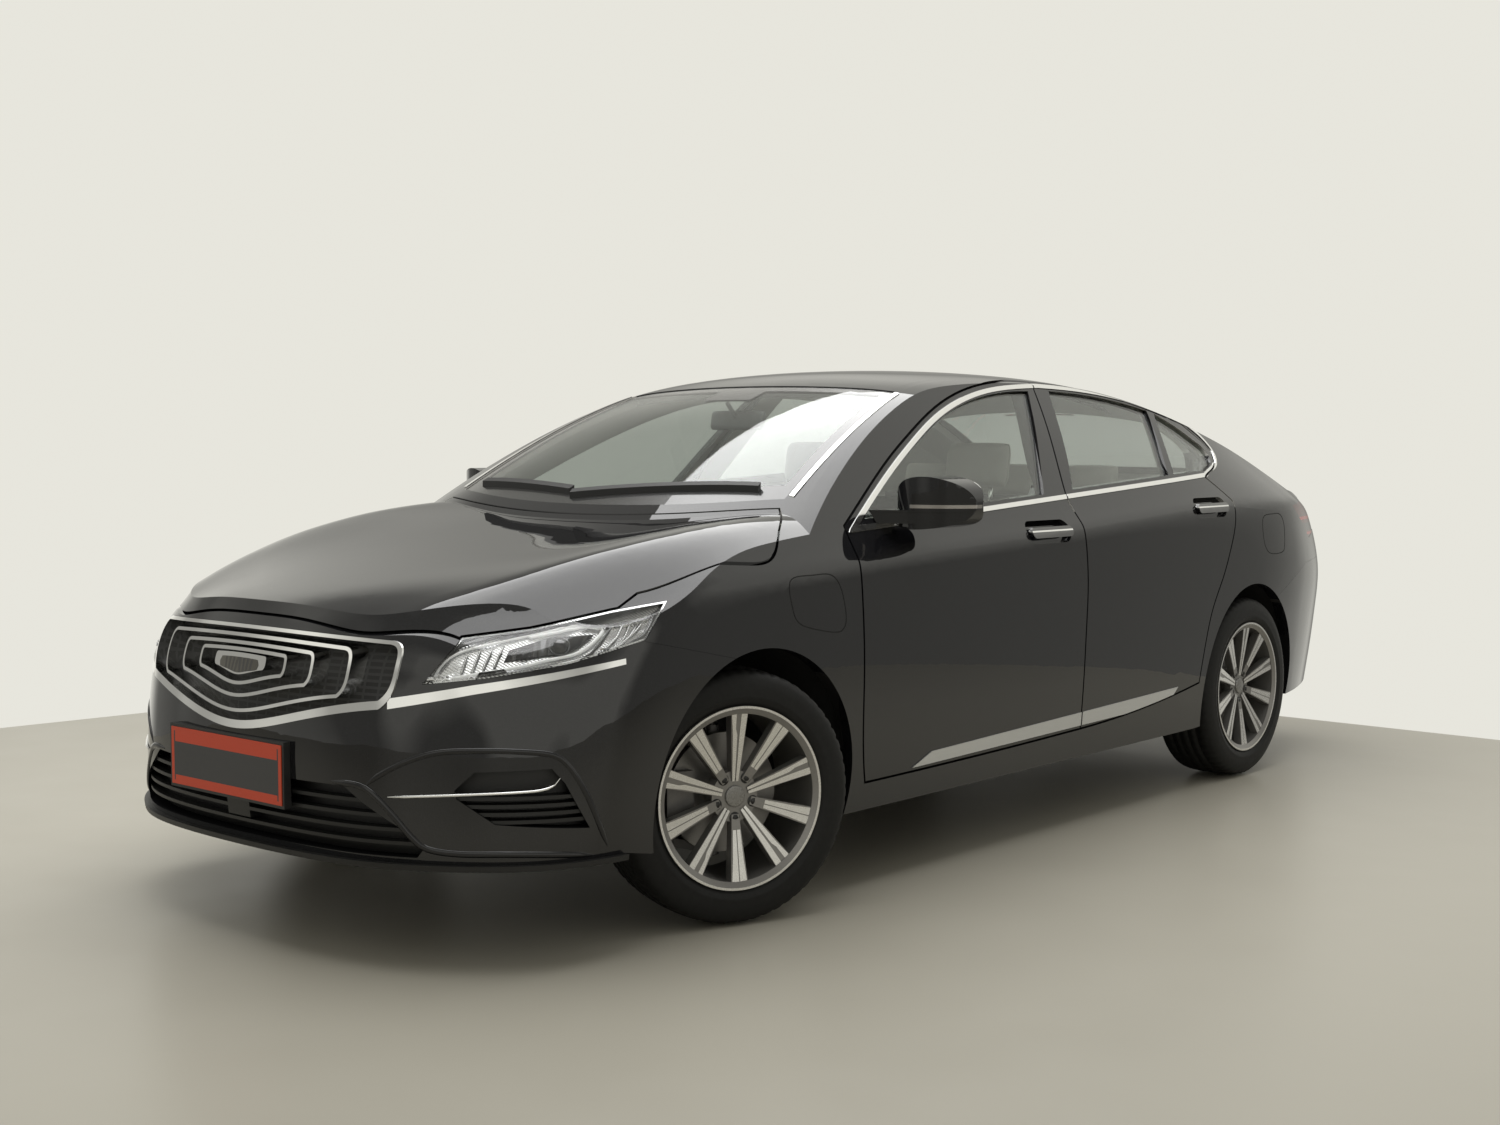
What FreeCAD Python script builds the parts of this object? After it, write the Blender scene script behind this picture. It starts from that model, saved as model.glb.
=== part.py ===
import FreeCAD, Part
import math
import os
from FreeCAD import Vector

os.makedirs("parts", exist_ok=True)

# Overall sizes in millimetres. The nose points along -Y, the car's left side
# along +X, and the tyres stand on z = 0.
body_length = 4986.0
body_width = 1861.0
body_height = 1513.0
wheelbase = 2850.0
front_overhang = 1000.0
overrun = 40.0
half_width = body_width / 2
front_axle_y = front_overhang - body_length / 2
rear_axle_y = front_axle_y + wheelbase

# In every share table x is a share of half the width, y of the wheelbase
# counted back from the front axle, and z of the height.


def place(x_share, y_share, z_share):
    y = front_axle_y + y_share * wheelbase
    return Vector(x_share * half_width, y, z_share * body_height)


def mirrored(shape):
    return shape.mirror(Vector(0, 0, 0), Vector(1, 0, 0))


def write(node, *shapes):
    solids = [solid for shape in shapes for solid in shape.Solids]
    whole = solids[0] if len(solids) == 1 else Part.Compound(solids)
    whole.exportStep("parts/" + node + ".step")


# Body side. Each row is one level of the side, from below the sill to above the
# roof: the heights at the nose, the front door's line, the rear wheel and the
# tail, then the half width at the places along the side.
side_y_share = [-0.0947, 0.0281, 0.1509, 0.3614, 0.5719, 0.7825, 0.9228, 1.0456, 1.1509]
height_y_share = [-0.2175, -0.0947, 0.1509, 0.5719, 0.9228, 1.1509, 1.3088]
row_height_share = [
    [0.0529, 0.0529, 0.0529, 0.0529, 0.0529, 0.0529, 0.0529],
    [0.1652, 0.1652, 0.1652, 0.1652, 0.1652, 0.1652, 0.1652],
    [0.2644, 0.2644, 0.2776, 0.2776, 0.2776, 0.2776, 0.2776],
    [0.3569, 0.3701, 0.3833, 0.3833, 0.3966, 0.3966, 0.3833],
    [0.4296, 0.4627, 0.4759, 0.4891, 0.5089, 0.5089, 0.4759],
    [0.4891, 0.542, 0.5618, 0.5882, 0.6081, 0.5948, 0.5618],
    [0.5288, 0.5849, 0.6147, 0.6477, 0.6841, 0.6742, 0.6279],
    [0.5486, 0.6015, 0.6279, 0.6609, 0.6973, 0.6907, 0.6543],
    [0.5948, 0.6378, 0.6709, 0.7059, 0.7436, 0.7336, 0.694],
    [0.7138, 0.7469, 0.7799, 0.813, 0.8328, 0.8063, 0.7667],
    [0.8857, 0.8857, 0.8989, 0.9253, 0.9253, 0.9121, 0.8989],
    [1.1368, 1.1368, 1.1368, 1.1368, 1.1368, 1.1368, 1.1368],
]
row_side_x_share = [
    [0.913, 0.919, 0.924, 0.926, 0.93, 0.93, 0.93, 0.919, 0.897],
    [0.946, 0.952, 0.959, 0.963, 0.965, 0.967, 0.965, 0.956, 0.937],
    [0.967, 0.974, 0.98, 0.985, 0.989, 0.991, 0.989, 0.98, 0.954],
    [0.978, 0.985, 0.991, 0.995, 0.999, 0.999, 0.995, 0.987, 0.963],
    [0.98, 0.987, 0.992, 0.995, 0.999, 0.997, 0.994, 0.985, 0.963],
    [0.973, 0.979, 0.984, 0.987, 0.989, 0.987, 0.982, 0.974, 0.952],
    [0.961, 0.969, 0.975, 0.977, 0.979, 0.975, 0.968, 0.959, 0.937],
    [0.946, 0.954, 0.96, 0.962, 0.963, 0.958, 0.951, 0.94, 0.916],
    [0.905, 0.908, 0.909, 0.91, 0.91, 0.905, 0.898, 0.879, 0.838],
    [0.806, 0.808, 0.808, 0.811, 0.812, 0.808, 0.8, 0.769, 0.72],
    [0.666, 0.677, 0.69, 0.699, 0.699, 0.696, 0.686, 0.656, 0.602],
    [0.43, 0.441, 0.451, 0.451, 0.451, 0.451, 0.446, 0.43, 0.398],
]
row_nose_share = [
    [(0, -0.3228), (0.107, -0.3225), (0.29, -0.3204), (0.484, -0.3105), (0.645, -0.2877), (0.774, -0.2596),
    (0.86, -0.2246), (0.908, -0.1789)],
    [(0, -0.3456), (0.107, -0.3453), (0.29, -0.3428), (0.494, -0.3333), (0.656, -0.307), (0.79, -0.2754),
    (0.887, -0.2386), (0.94, -0.186)],
    [(0, -0.3491), (0.107, -0.3488), (0.29, -0.3456), (0.494, -0.334), (0.656, -0.306), (0.79, -0.2737),
    (0.892, -0.2351), (0.959, -0.186)],
    [(0, -0.3509), (0.107, -0.3505), (0.29, -0.3467), (0.494, -0.3316), (0.656, -0.3035), (0.79, -0.2702),
    (0.892, -0.2316), (0.964, -0.1825)],
    [(0, -0.3467), (0.107, -0.346), (0.29, -0.3414), (0.505, -0.3246), (0.661, -0.2965), (0.795, -0.2614),
    (0.892, -0.2211), (0.962, -0.1684)],
    [(0, -0.3386), (0.107, -0.3379), (0.29, -0.3333), (0.505, -0.3175), (0.666, -0.2877), (0.795, -0.2456),
    (0.89, -0.2), (0.948, -0.1474)],
    [(0, -0.3298), (0.107, -0.3291), (0.29, -0.3242), (0.494, -0.3053), (0.645, -0.2719), (0.768, -0.2246),
    (0.86, -0.1754), (0.93, -0.1263)],
    [(0, -0.3235), (0.107, -0.3228), (0.29, -0.3172), (0.484, -0.2965), (0.623, -0.2632), (0.742, -0.2175),
    (0.838, -0.1684), (0.911, -0.1228)],
    [(0, -0.313), (0.107, -0.3123), (0.279, -0.307), (0.462, -0.2842), (0.591, -0.2491), (0.709, -0.2035),
    (0.806, -0.1579), (0.873, -0.1158)],
    [(0, -0.2877), (0.107, -0.287), (0.269, -0.2807), (0.43, -0.2561), (0.548, -0.2211), (0.645, -0.1825),
    (0.725, -0.1439), (0.779, -0.1123)],
    [(0, -0.2526), (0.107, -0.2519), (0.247, -0.2456), (0.376, -0.2211), (0.462, -0.193), (0.537, -0.1614),
    (0.602, -0.1333), (0.643, -0.1088)],
    [(0, -0.2), (0.107, -0.1993), (0.193, -0.193), (0.258, -0.1754), (0.312, -0.1544), (0.355, -0.1333),
    (0.392, -0.1158), (0.419, -0.1018)],
]
row_tail_share = [
    [(0.87, 1.207), (0.806, 1.2772), (0.688, 1.3263), (0.473, 1.3544), (0.236, 1.3632), (0.086, 1.3646),
    (0, 1.3649)],
    [(0.903, 1.2035), (0.833, 1.2772), (0.709, 1.3368), (0.494, 1.3754), (0.236, 1.3849), (0.086, 1.3867),
    (0, 1.387)],
    [(0.922, 1.2105), (0.849, 1.2877), (0.731, 1.3474), (0.505, 1.387), (0.236, 1.3958), (0.086, 1.3975),
    (0, 1.3979)],
    [(0.931, 1.2175), (0.86, 1.2947), (0.742, 1.3526), (0.505, 1.3888), (0.236, 1.3972), (0.086, 1.3984),
    (0, 1.3986)],
    [(0.937, 1.2211), (0.873, 1.3018), (0.752, 1.3526), (0.494, 1.3842), (0.236, 1.393), (0.086, 1.3944),
    (0, 1.3947)],
    [(0.92, 1.2175), (0.86, 1.2912), (0.736, 1.3421), (0.484, 1.3737), (0.236, 1.3814), (0.086, 1.3828),
    (0, 1.3832)],
    [(0.901, 1.214), (0.838, 1.2807), (0.72, 1.3333), (0.473, 1.3656), (0.236, 1.374), (0.086, 1.3754),
    (0, 1.3758)],
    [(0.876, 1.2105), (0.817, 1.2737), (0.709, 1.3298), (0.473, 1.3639), (0.236, 1.373), (0.086, 1.3747),
    (0, 1.3751)],
    [(0.801, 1.2), (0.763, 1.2632), (0.677, 1.3263), (0.462, 1.3656), (0.236, 1.3768), (0.086, 1.3789),
    (0, 1.3793)],
    [(0.677, 1.193), (0.656, 1.2491), (0.591, 1.3193), (0.43, 1.3684), (0.236, 1.3832), (0.086, 1.386),
    (0, 1.3863)],
    [(0.57, 1.186), (0.548, 1.2421), (0.494, 1.3123), (0.387, 1.3649), (0.215, 1.3842), (0.086, 1.3888),
    (0, 1.3891)],
    [(0.387, 1.186), (0.376, 1.2421), (0.344, 1.3053), (0.279, 1.3579), (0.172, 1.3807), (0.086, 1.3877),
    (0, 1.3888)],
]

# Top of the car in three sheets: the hood, the cabin from windscreen over roof
# to rear window, and the deck. Each row gives y, the height of the middle, the
# height of the ridge above it and the half width of the ridge.
hood_row_share = [
    (-0.393, 0.5288, 0.451, 0.4858, 0.752, 0.3833), (-0.3474, 0.5565, 0.451, 0.5188, 0.752,
    0.4296), (-0.3175, 0.5724, 0.462, 0.5406, 0.731, 0.4759),
    (-0.2737, 0.5902, 0.516, 0.5737, 0.715, 0.5142), (-0.2175, 0.6094, 0.613, 0.6048, 0.779,
    0.5367), (-0.1649, 0.6259, 0.656, 0.6325, 0.833, 0.5605),
    (-0.1123, 0.6411, 0.699, 0.6563, 0.876, 0.5869), (-0.0596, 0.6543, 0.72, 0.6742, 0.913,
    0.6213), (-0.007, 0.6675, 0.742, 0.6894, 0.935, 0.6398),
    (0.0351, 0.6768, 0.749, 0.698, 0.937, 0.6477), (0.0807, 0.6874, 0.758, 0.7046, 0.935, 0.6557), (0.1404,
    0.6993, 0.765, 0.7098, 0.931, 0.6662),
    (0.2386, 0.7138, 0.768, 0.7171, 0.924, 0.6808), (0.3439, 0.727, 0.768, 0.727, 0.924, 0.694)]
ridge_x_share = [0, 0.22, 0.45, 0.68, 0.88, 1.0]
ridge_rise_share = [0, 0.02, 0.12, 0.45, 0.86, 1.0]
shoulder_x_share = [0.28, 0.62, 1.0, 1.35, 1.9]
shoulder_drop_share = [0.12, 0.45, 1.0, 1.32, 1.7]
cabin_row_share = [
    (-0.007, 0.5981, 1.247), (0.0632, 0.6854, 1.247), (0.1246, 0.7535, 1.247), (0.186, 0.8182,
    1.214), (0.2561, 0.8843, 1.161), (0.3263, 0.9379, 1.096),
    (0.3825, 0.9722, 1.042), (0.4316, 0.9874, 1.01), (0.4912, 0.9954, 0.999), (0.5544, 0.9993,
    0.999), (0.6105, 1, 0.999), (0.6877, 0.9967, 0.999),
    (0.7649, 0.9868, 0.999), (0.8421, 0.9689, 0.999), (0.9123, 0.9465, 0.999), (0.9825, 0.9161,
    1.021), (1.0526, 0.8777, 1.053),
    (1.1228, 0.8315, 1.075), (1.193, 0.7786, 1.096), (1.2561, 0.7257, 1.118), (1.3263, 0.6609, 1.139)]
cabin_fall_share = [(0, 0), (0.129, 0.001), (0.258, 0.004), (0.387, 0.0093), (0.494, 0.0159),
    (0.58, 0.0238), (0.656, 0.0344),
    (0.72, 0.0516), (0.795, 0.078), (0.881, 0.1124), (0.989, 0.1586), (1.139, 0.2247)]
deck_row_share = [
    (0.9404, 0.7733, 0.999), (1.0456, 0.7568, 0.999), (1.1509, 0.7369, 0.999), (1.2211, 0.727,
    0.999), (1.2737, 0.7211, 0.999), (1.3193, 0.7178, 0.999), (1.3544, 0.7178, 0.999),
    (1.3789, 0.7191, 0.999), (1.4035, 0.7138, 0.999), (1.4491, 0.694, 0.999)]
deck_fall_share = [(0, 0), (0.215, 0.0013), (0.43, 0.0059), (0.623, 0.0145), (0.731, 0.0238),
    (0.817, 0.0397), (0.892, 0.0628), (0.989, 0.1058)]


def table_at(table, t):
    """Smooth value at t through (t, value) rows by cubic pieces that don't overshoot."""
    ts = [row[0] for row in table]
    vs = [row[1] for row in table]
    last = len(ts) - 1
    slopes = [(vs[i + 1] - vs[i]) / (ts[i + 1] - ts[i]) for i in range(last)]
    tangents = [slopes[0]]
    for before, after in zip(slopes, slopes[1:]):
        tangents.append(2 * before * after / (before + after) if before * after > 0 else 0)
    tangents.append(slopes[-1])
    t = min(max(t, ts[0]), ts[-1])
    i = min(max(sum(1 for knot in ts if knot <= t) - 1, 0), last - 1)
    step = ts[i + 1] - ts[i]
    f = (t - ts[i]) / step
    rise = (vs[i + 1] - vs[i]) / step
    curve = tangents[i] + tangents[i + 1] - 2 * rise
    return vs[i] + step * f * (tangents[i] + f * (3 * rise - 2 * tangents[i] - tangents[i + 1] + f * curve))


def side_grid():
    """Rows of points round the whole car, from the tail over the right side and nose and back."""
    rows = []
    for heights, xs, nose, tail in zip(row_height_share, row_side_x_share, row_nose_share, row_tail_share):
        height_table = list(zip(height_y_share, heights))
        plan = nose + list(zip(xs, side_y_share)) + tail
        half = [place(x, y, table_at(height_table, y)) for x, y in plan]
        rows.append([Vector(-p.x, p.y, p.z) for p in reversed(half[1:])] + half)
    return rows


def top_grid(rows, columns):
    return [[place(x, y, z) for x, y, z in columns(row)] for row in rows]


def hood_columns(row):
    y, middle, ridge_x, ridge_z, edge_x, edge_z = row
    inner = [(f * ridge_x, middle + (ridge_z - middle) * g) for f,
        g in zip(ridge_x_share, ridge_rise_share)]
    outer = [(ridge_x + f * (edge_x - ridge_x), ridge_z - g * (ridge_z - edge_z))
             for f, g in zip(shoulder_x_share, shoulder_drop_share)]
    half = inner + outer
    return [(-x, y, z) for x, z in reversed(half[1:])] + [(x, y, z) for x, z in half]


def falling_columns(row, falls):
    y, z, spread = row
    half = [(x * spread, z - fall) for x, fall in falls]
    return [(-x, y, h) for x, h in reversed(half[1:])] + [(x, y, h) for x, h in half]


def moved_inwards(grid, depths, closed):
    """The grid with each row moved by its depth along the surface's normal."""
    moved = []
    for i, row in enumerate(grid):
        below = grid[max(i - 1, 0)]
        above = grid[min(i + 1, len(grid) - 1)]
        line = []
        for j, point in enumerate(row):
            if closed and j in (0, len(row) - 1):
                before, after = row[-2], row[1]
            else:
                before, after = row[max(j - 1, 0)], row[min(j + 1, len(row) - 1)]
            normal = (after - before).cross(above[j] - below[j]).normalize()
            line.append(point - normal * depths[i])
        moved.append(line)
    return moved


def surface_of(grid):
    """Smooth sheet that the grid of points pulls into shape, through its border."""
    degree = 3
    knots = []
    turns = []
    for count in (len(grid), len(grid[0])):
        spans = count - degree
        knots.append(list(range(spans + 1)))
        turns.append([degree + 1] + [1] * (spans - 1) + [degree + 1])
    surface = Part.BSplineSurface()
    surface.buildFromPolesMultsKnots(grid, turns[0], turns[1], knots[0], knots[1], False, False, degree,
        degree)
    return surface.toShape()


level_span = 1.0
weld = 0.01


def side_solid(depths):
    grid = moved_inwards(side_grid(), depths, True)
    for row in (grid[0], grid[-1]):
        level = sum(p.z for p in row) / len(row)
        for p in row:
            p.z = level
    for row in grid:
        for end in (0, -1):
            row[end] = Vector(0, (row[0].y + row[-1].y) / 2, row[0].z)
    side = surface_of(grid)
    caps = []
    for edge in side.Edges:
        box = edge.BoundBox
        if box.ZLength < level_span:
            caps.append(Part.Face(Part.Wire([edge])))
    shell = Part.makeShell([side] + caps)
    shell.sewShape()
    solid = Part.Solid(shell)
    solid.fixTolerance(weld)
    return solid


def sheet_solid(grid):
    """Everything that lies under a top sheet, down past the ground."""
    return surface_of(grid).extrude(Vector(0, 0, -2 * body_height))


def top_solids(hood_depth, cabin_depth, deck_depth):
    """What lies under the hood's, the cabin's and the deck's sheet, each moved down by its depth."""
    grids = [top_grid(hood_row_share, hood_columns),
             top_grid(cabin_row_share, lambda row: falling_columns(row, cabin_fall_share)),
             top_grid(deck_row_share, lambda row: falling_columns(row, deck_fall_share))]
    depths = (hood_depth, cabin_depth, deck_depth)
    return [sheet_solid(moved_inwards(grid, [depth] * len(grid), False)) for grid,
        depth in zip(grids, depths)]


def hull(depths, hood_depth, cabin_depth, deck_depth):
    """The car's whole outline moved inwards, one depth for each row of the side."""
    side = side_solid(depths)
    pieces = [side.common(top) for top in top_solids(hood_depth, cabin_depth, deck_depth)]
    return pieces[0].fuse(pieces[1:])


def shrunk(face, shrink):
    """The face made smaller all round, its offset curves redrawn as plain splines."""
    edges = []
    for edge in face.makeOffset2D(-shrink).OuterWire.OrderedEdges:
        edges.append(edge.toNurbs().Edges[0] if edge.Curve.TypeId == "Part::GeomOffsetCurve" else edge)
    return Part.Face(Part.Wire(edges))


def outline_face(runs, to_point, shrink):
    """Flat face inside runs of points: two make a straight edge, more make a curve."""
    edges = []
    for run in runs:
        points = [to_point(a, b) for a, b in run]
        if len(points) == 2:
            edges.append(Part.makeLine(points[0], points[1]))
        else:
            curve = Part.BSplineCurve()
            curve.interpolate(points)
            edges.append(curve.toShape())
    face = Part.Face(Part.Wire(edges))
    return shrunk(face, shrink) if shrink else face


def side_prism(runs, x_from, x_to, shrink=0):
    """Block seen from the side as the runs of (y, z) shares, between two x."""
    face = outline_face(runs, lambda y, z: place(0, y, z) + Vector(x_from, 0, 0), shrink)
    return face.extrude(Vector(x_to - x_from, 0, 0))


def plan_prism(runs, z_from, z_to, shrink=0):
    face = outline_face(runs, lambda x, y: place(x, y, 0) + Vector(0, 0, z_from), shrink)
    return face.extrude(Vector(0, 0, z_to - z_from))


def front_prism(runs, y_from, y_to, shrink=0):
    face = outline_face(runs, lambda x, z: Vector(x * half_width, y_from, z * body_height), shrink)
    return face.extrude(Vector(0, y_to - y_from, 0))


def block(x0, x1, y0, y1, z0, z1):
    return Part.makeBox(x1 - x0, y1 - y0, z1 - z0, Vector(x0, y0, z0))


def closed(points):
    """Straight runs through a ring of points."""
    return [[a, b] for a, b in zip(points, points[1:] + points[:1])]


# Panel sizes
shell_wall = 40.0
hood_wall = 25.0
roof_wall = 38.0
deck_wall = 22.0
seam = 0.6
half_seam = seam / 2
door_gap = 7.0
lid_gap = 6.0
door_flange = 10.0
flange_step = 8.0
door_skin = 30.0
frame_clearance = 7.0
core_clearance = 14.0
door_wall = 125.0
belt_wall = 75.0
pillar_wall = 62.0
glass_inset = 9.0
glass_wall = 5.0
screen_inset = 3.0
trim_rise = 3.0
trim_seat = 0.3

row_count = len(row_height_share)
belt_row = 8
far_side = half_width + overrun
mid_side = half_width * 0.45
made_sides = {}


def even(depth):
    return [depth] * row_count


def side_at(depth):
    """The side moved inwards by a depth, made once for each depth."""
    if depth not in made_sides:
        made_sides[depth] = side_solid(even(depth))
    return made_sides[depth]


def layer(blank, near, far):
    """The part of a block between two depths below the body's side."""
    return blank.common(side_at(near)).cut(side_at(far))


def both(shape):
    return [shape, mirrored(shape)]


def reverse(run):
    return list(reversed(run))


def flipped(run):
    """The same run on the right side, walked the other way."""
    return [(-a, b) for a, b in reversed(run)]


cabin_depths = [door_wall] * (belt_row - 1) + [belt_wall] + [pillar_wall] * (row_count - belt_row)
outer = hull(even(0), 0, 0, 0)
inner = hull(even(shell_wall), hood_wall, roof_wall, deck_wall)
side_cabin = side_solid(cabin_depths)
trim_hulls = [hull(even(-rise), -rise, -rise, -rise) for rise in (trim_rise, trim_seat)]
trim_shell = trim_hulls[0].cut(trim_hulls[1])
side_room = side_solid([depth + seam for depth in cabin_depths])

# Door outlines, seen from the side
front_line_share = [(0.1642, 0.2029), (0.1544, 0.2974), (0.1516, 0.423), (0.1509, 0.5288), (0.1516, 0.6173)]
front_corner_share = [(0.1516, 0.6173), (0.1551, 0.6808)]
front_top_share = [(0.1551, 0.6808), (0.2105, 0.7389), (0.2737, 0.803), (0.3298, 0.8526), (0.3874, 0.8982),
    (0.4561, 0.9385), (0.5242, 0.9617),
    (0.5754, 0.9696), (0.6267, 0.9726)]
middle_upper_share = [(0.6267, 0.9726), (0.6123, 0.8989), (0.5912, 0.8063), (0.5702, 0.7105)]
middle_lower_share = [(0.5702, 0.7105), (0.573, 0.6147), (0.5723, 0.5288), (0.5677, 0.4362),
    (0.5663, 0.3437), (0.5695, 0.2141)]
front_foot_share = [(0.5695, 0.2141), (0.3614, 0.2062), (0.1642, 0.2029)]
rear_top_share = [(0.6267, 0.9726), (0.6947, 0.9703), (0.7649, 0.9623), (0.8351, 0.9451), (0.9053, 0.92)]
rear_tip_share = [(0.9053, 0.92), (0.9404, 0.8857), (0.9667, 0.8526), (0.9832, 0.8229), (0.9853, 0.803),
    (0.9719, 0.7799),
    (0.9474, 0.7634), (0.9193, 0.7488)]
rear_corner_share = [(0.9193, 0.7488), (0.9404, 0.7171), (0.9561, 0.6874)]
rear_line_share = [(0.9561, 0.6874), (0.9537, 0.6411), (0.9368, 0.5816), (0.9102, 0.5089),
    (0.8807, 0.4362), (0.8656, 0.3701), (0.8568, 0.304),
    (0.8533, 0.2617)]
rear_foot_share = [(0.8533, 0.2617), (0.7298, 0.2327), (0.5695, 0.2141)]
front_door_runs = [front_line_share, front_corner_share, front_top_share, middle_upper_share,
    middle_lower_share,
                   front_foot_share]
rear_door_runs = [reverse(middle_upper_share), rear_top_share, rear_tip_share, rear_corner_share,
    rear_line_share,
                  rear_foot_share, reverse(middle_lower_share)]
front_window_runs = [
    [(0.1895, 0.6913), (0.5288, 0.7237)],
    [(0.5288, 0.7237), (0.5544, 0.7964), (0.586, 0.8857), (0.6077, 0.9478)],
    [(0.6077, 0.9478), (0.5684, 0.9458), (0.5242, 0.9379), (0.4561, 0.9147), (0.3874, 0.8738),
    (0.3298, 0.8282), (0.2737, 0.7786), (0.1895, 0.6913)],
]
rear_window_runs = [
    [(0.5912, 0.731), (0.8263, 0.7555)],
    [(0.8263, 0.7555), (0.8456, 0.8196), (0.8614, 0.8724), (0.8702, 0.9095)],
    [(0.8702, 0.9095), (0.8175, 0.9266), (0.7649, 0.9385), (0.7123, 0.9458), (0.6547, 0.9498)],
    [(0.6547, 0.9498), (0.6351, 0.879), (0.6123, 0.7931), (0.5912, 0.731)],
]
quarter_window_runs = [
    [(0.8404, 0.7574), (0.8596, 0.8196), (0.8754, 0.8724), (0.886, 0.9028)],
    [(0.886, 0.9028), (0.9298, 0.8658), (0.9579, 0.8341), (0.9709, 0.813), (0.9712, 0.7964),
    (0.9614, 0.7799), (0.9333, 0.764)],
    [(0.9333, 0.764), (0.8404, 0.7574)],
]
front_aperture_runs = [
    [(0.1853, 0.2432), (0.1737, 0.3305), (0.1702, 0.4362), (0.1695, 0.5288), (0.1709, 0.618)],
    [(0.1709, 0.618), (0.1895, 0.6907)],
    [(0.1895, 0.6907), (0.2737, 0.7733), (0.3298, 0.8229), (0.3874, 0.8672), (0.4561, 0.9081),
    (0.5242, 0.9313), (0.5684, 0.9392), (0.6053, 0.9412)],
    [(0.6053, 0.9412), (0.586, 0.8724), (0.5614, 0.7865), (0.5509, 0.7105)],
    [(0.5509, 0.7105), (0.5533, 0.6147), (0.553, 0.5288), (0.5495, 0.4362), (0.5488, 0.3437),
    (0.5509, 0.2485)],
    [(0.5509, 0.2485), (0.3614, 0.2393), (0.1853, 0.2432)],
]
rear_aperture_runs = [
    [(0.5895, 0.2512), (0.586, 0.3437), (0.5874, 0.4362), (0.5909, 0.5288), (0.5923, 0.6147),
    (0.5902, 0.7105)],
    [(0.5902, 0.7105), (0.6112, 0.7931), (0.6333, 0.879), (0.6498, 0.9412)],
    [(0.6498, 0.9412), (0.7123, 0.9385), (0.7649, 0.9313), (0.8175, 0.9194), (0.8702, 0.8989)],
    [(0.8702, 0.8989), (0.9123, 0.8672), (0.9439, 0.8341), (0.9537, 0.8096), (0.9404, 0.7799),
    (0.9193, 0.727), (0.9246, 0.6742)],
    [(0.9246, 0.6742), (0.9221, 0.6279), (0.9053, 0.5684), (0.8807, 0.4957), (0.8561, 0.423),
    (0.8414, 0.3635), (0.8333, 0.2974)],
    [(0.8333, 0.2974), (0.7123, 0.2683), (0.5895, 0.2512)],
]
belt_cut_share = [(0.0982, 0.0529), (1.0456, 0.0529), (1.0456, 0.7568), (0.0982, 0.6543)]

# Openings in the body. The hood, the boot lid and the two screens are seen from
# above, the grille and the lower opening from the front.
hood_side_share = [(0.752, 0.114), (0.801, 0.0982), (0.876, 0.0649), (0.924, 0.0414), (0.936, 0.0291),
    (0.935, -0.0035), (0.913, -0.0586), (0.892, -0.0912),
    (0.86, -0.1228)]
hood_lamp_share = [(0.86, -0.1228), (0.86, -0.393)]
cowl_share = [(-0.752, 0.114), (-0.43, 0.0849), (0, 0.0719), (0.43, 0.0849), (0.752, 0.114)]
hood_runs = [cowl_share, hood_side_share, hood_lamp_share,
    [hood_lamp_share[-1], flipped(hood_lamp_share)[0]],
             flipped(hood_lamp_share), flipped(hood_side_share)]
lid_runs = closed([(-0.645, 1.2421), (0.645, 1.2421), (0.645, 1.4667), (-0.645, 1.4667)])
lid_foot_share = 0.5288
screen_runs = [
    [(-0.737, 0.1281), (-0.43, 0.1), (0, 0.0877), (0.43, 0.1), (0.737, 0.1281)],
    [(0.737, 0.1281), (0.696, 0.2105), (0.651, 0.2947), (0.607, 0.3702)],
    [(0.607, 0.3702), (0.322, 0.3607), (0, 0.3572), (-0.322, 0.3607), (-0.607, 0.3702)],
    [(-0.607, 0.3702), (-0.651, 0.2947), (-0.696, 0.2105), (-0.737, 0.1281)],
]
back_window_runs = [
    [(-0.537, 0.9544), (-0.269, 0.9421), (0, 0.9386), (0.269, 0.9421), (0.537, 0.9544)],
    [(0.537, 0.9544), (0.596, 1.0632), (0.645, 1.1719), (0.656, 1.207)],
    [(0.656, 1.207), (0.322, 1.2263), (0, 1.2316), (-0.322, 1.2263), (-0.656, 1.207)],
    [(-0.656, 1.207), (-0.645, 1.1719), (-0.596, 1.0632), (-0.537, 0.9544)],
]
screen_floor_share = 0.6477
bumper_line_share = [(-0.4632, 0), (-0.0246, 0), (-0.0368, 0.4706), (-0.1421, 0.5142), (-0.1684, 0.5552),
    (-0.2246, 0.6609), (-0.4632, 0.6609)]
rear_bumper_share = [(1.5018, 0), (1.0632, 0), (1.0737, 0.4362), (1.193, 0.5155), (1.2561, 0.5221),
    (1.5018, 0.5221)]
under_share = [(-0.4982, 0.1732), (-0.1649, 0.1732), (-0.1333, 0.1619), (0.1404, 0.1494), (0.8561, 0.1494),
    (1.1158, 0.1732), (1.5368, 0.2115), (1.5368, -0.1983), (-0.4982, -0.1983)]
grille_runs = [
    [(-0.505, 0.5221), (0, 0.5307), (0.505, 0.5221)],
    [(0.505, 0.5221), (0.543, 0.5122), (0.556, 0.4759), (0.551, 0.4395), (0.521, 0.4151)],
    [(0.521, 0.4151), (0.269, 0.3866), (0, 0.3602), (-0.269, 0.3866), (-0.521, 0.4151)],
    [(-0.521, 0.4151), (-0.551, 0.4395), (-0.556, 0.4759), (-0.543, 0.5122), (-0.505, 0.5221)],
]
lower_opening_runs = closed([(-0.43, 0.2908), (0.43, 0.2908), (0.489, 0.2657), (0.587, 0.23),
    (0.643, 0.1983), (0.623, 0.1824),
    (-0.623, 0.1824), (-0.643, 0.1983), (-0.587, 0.23), (-0.489, 0.2657)])
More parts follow.
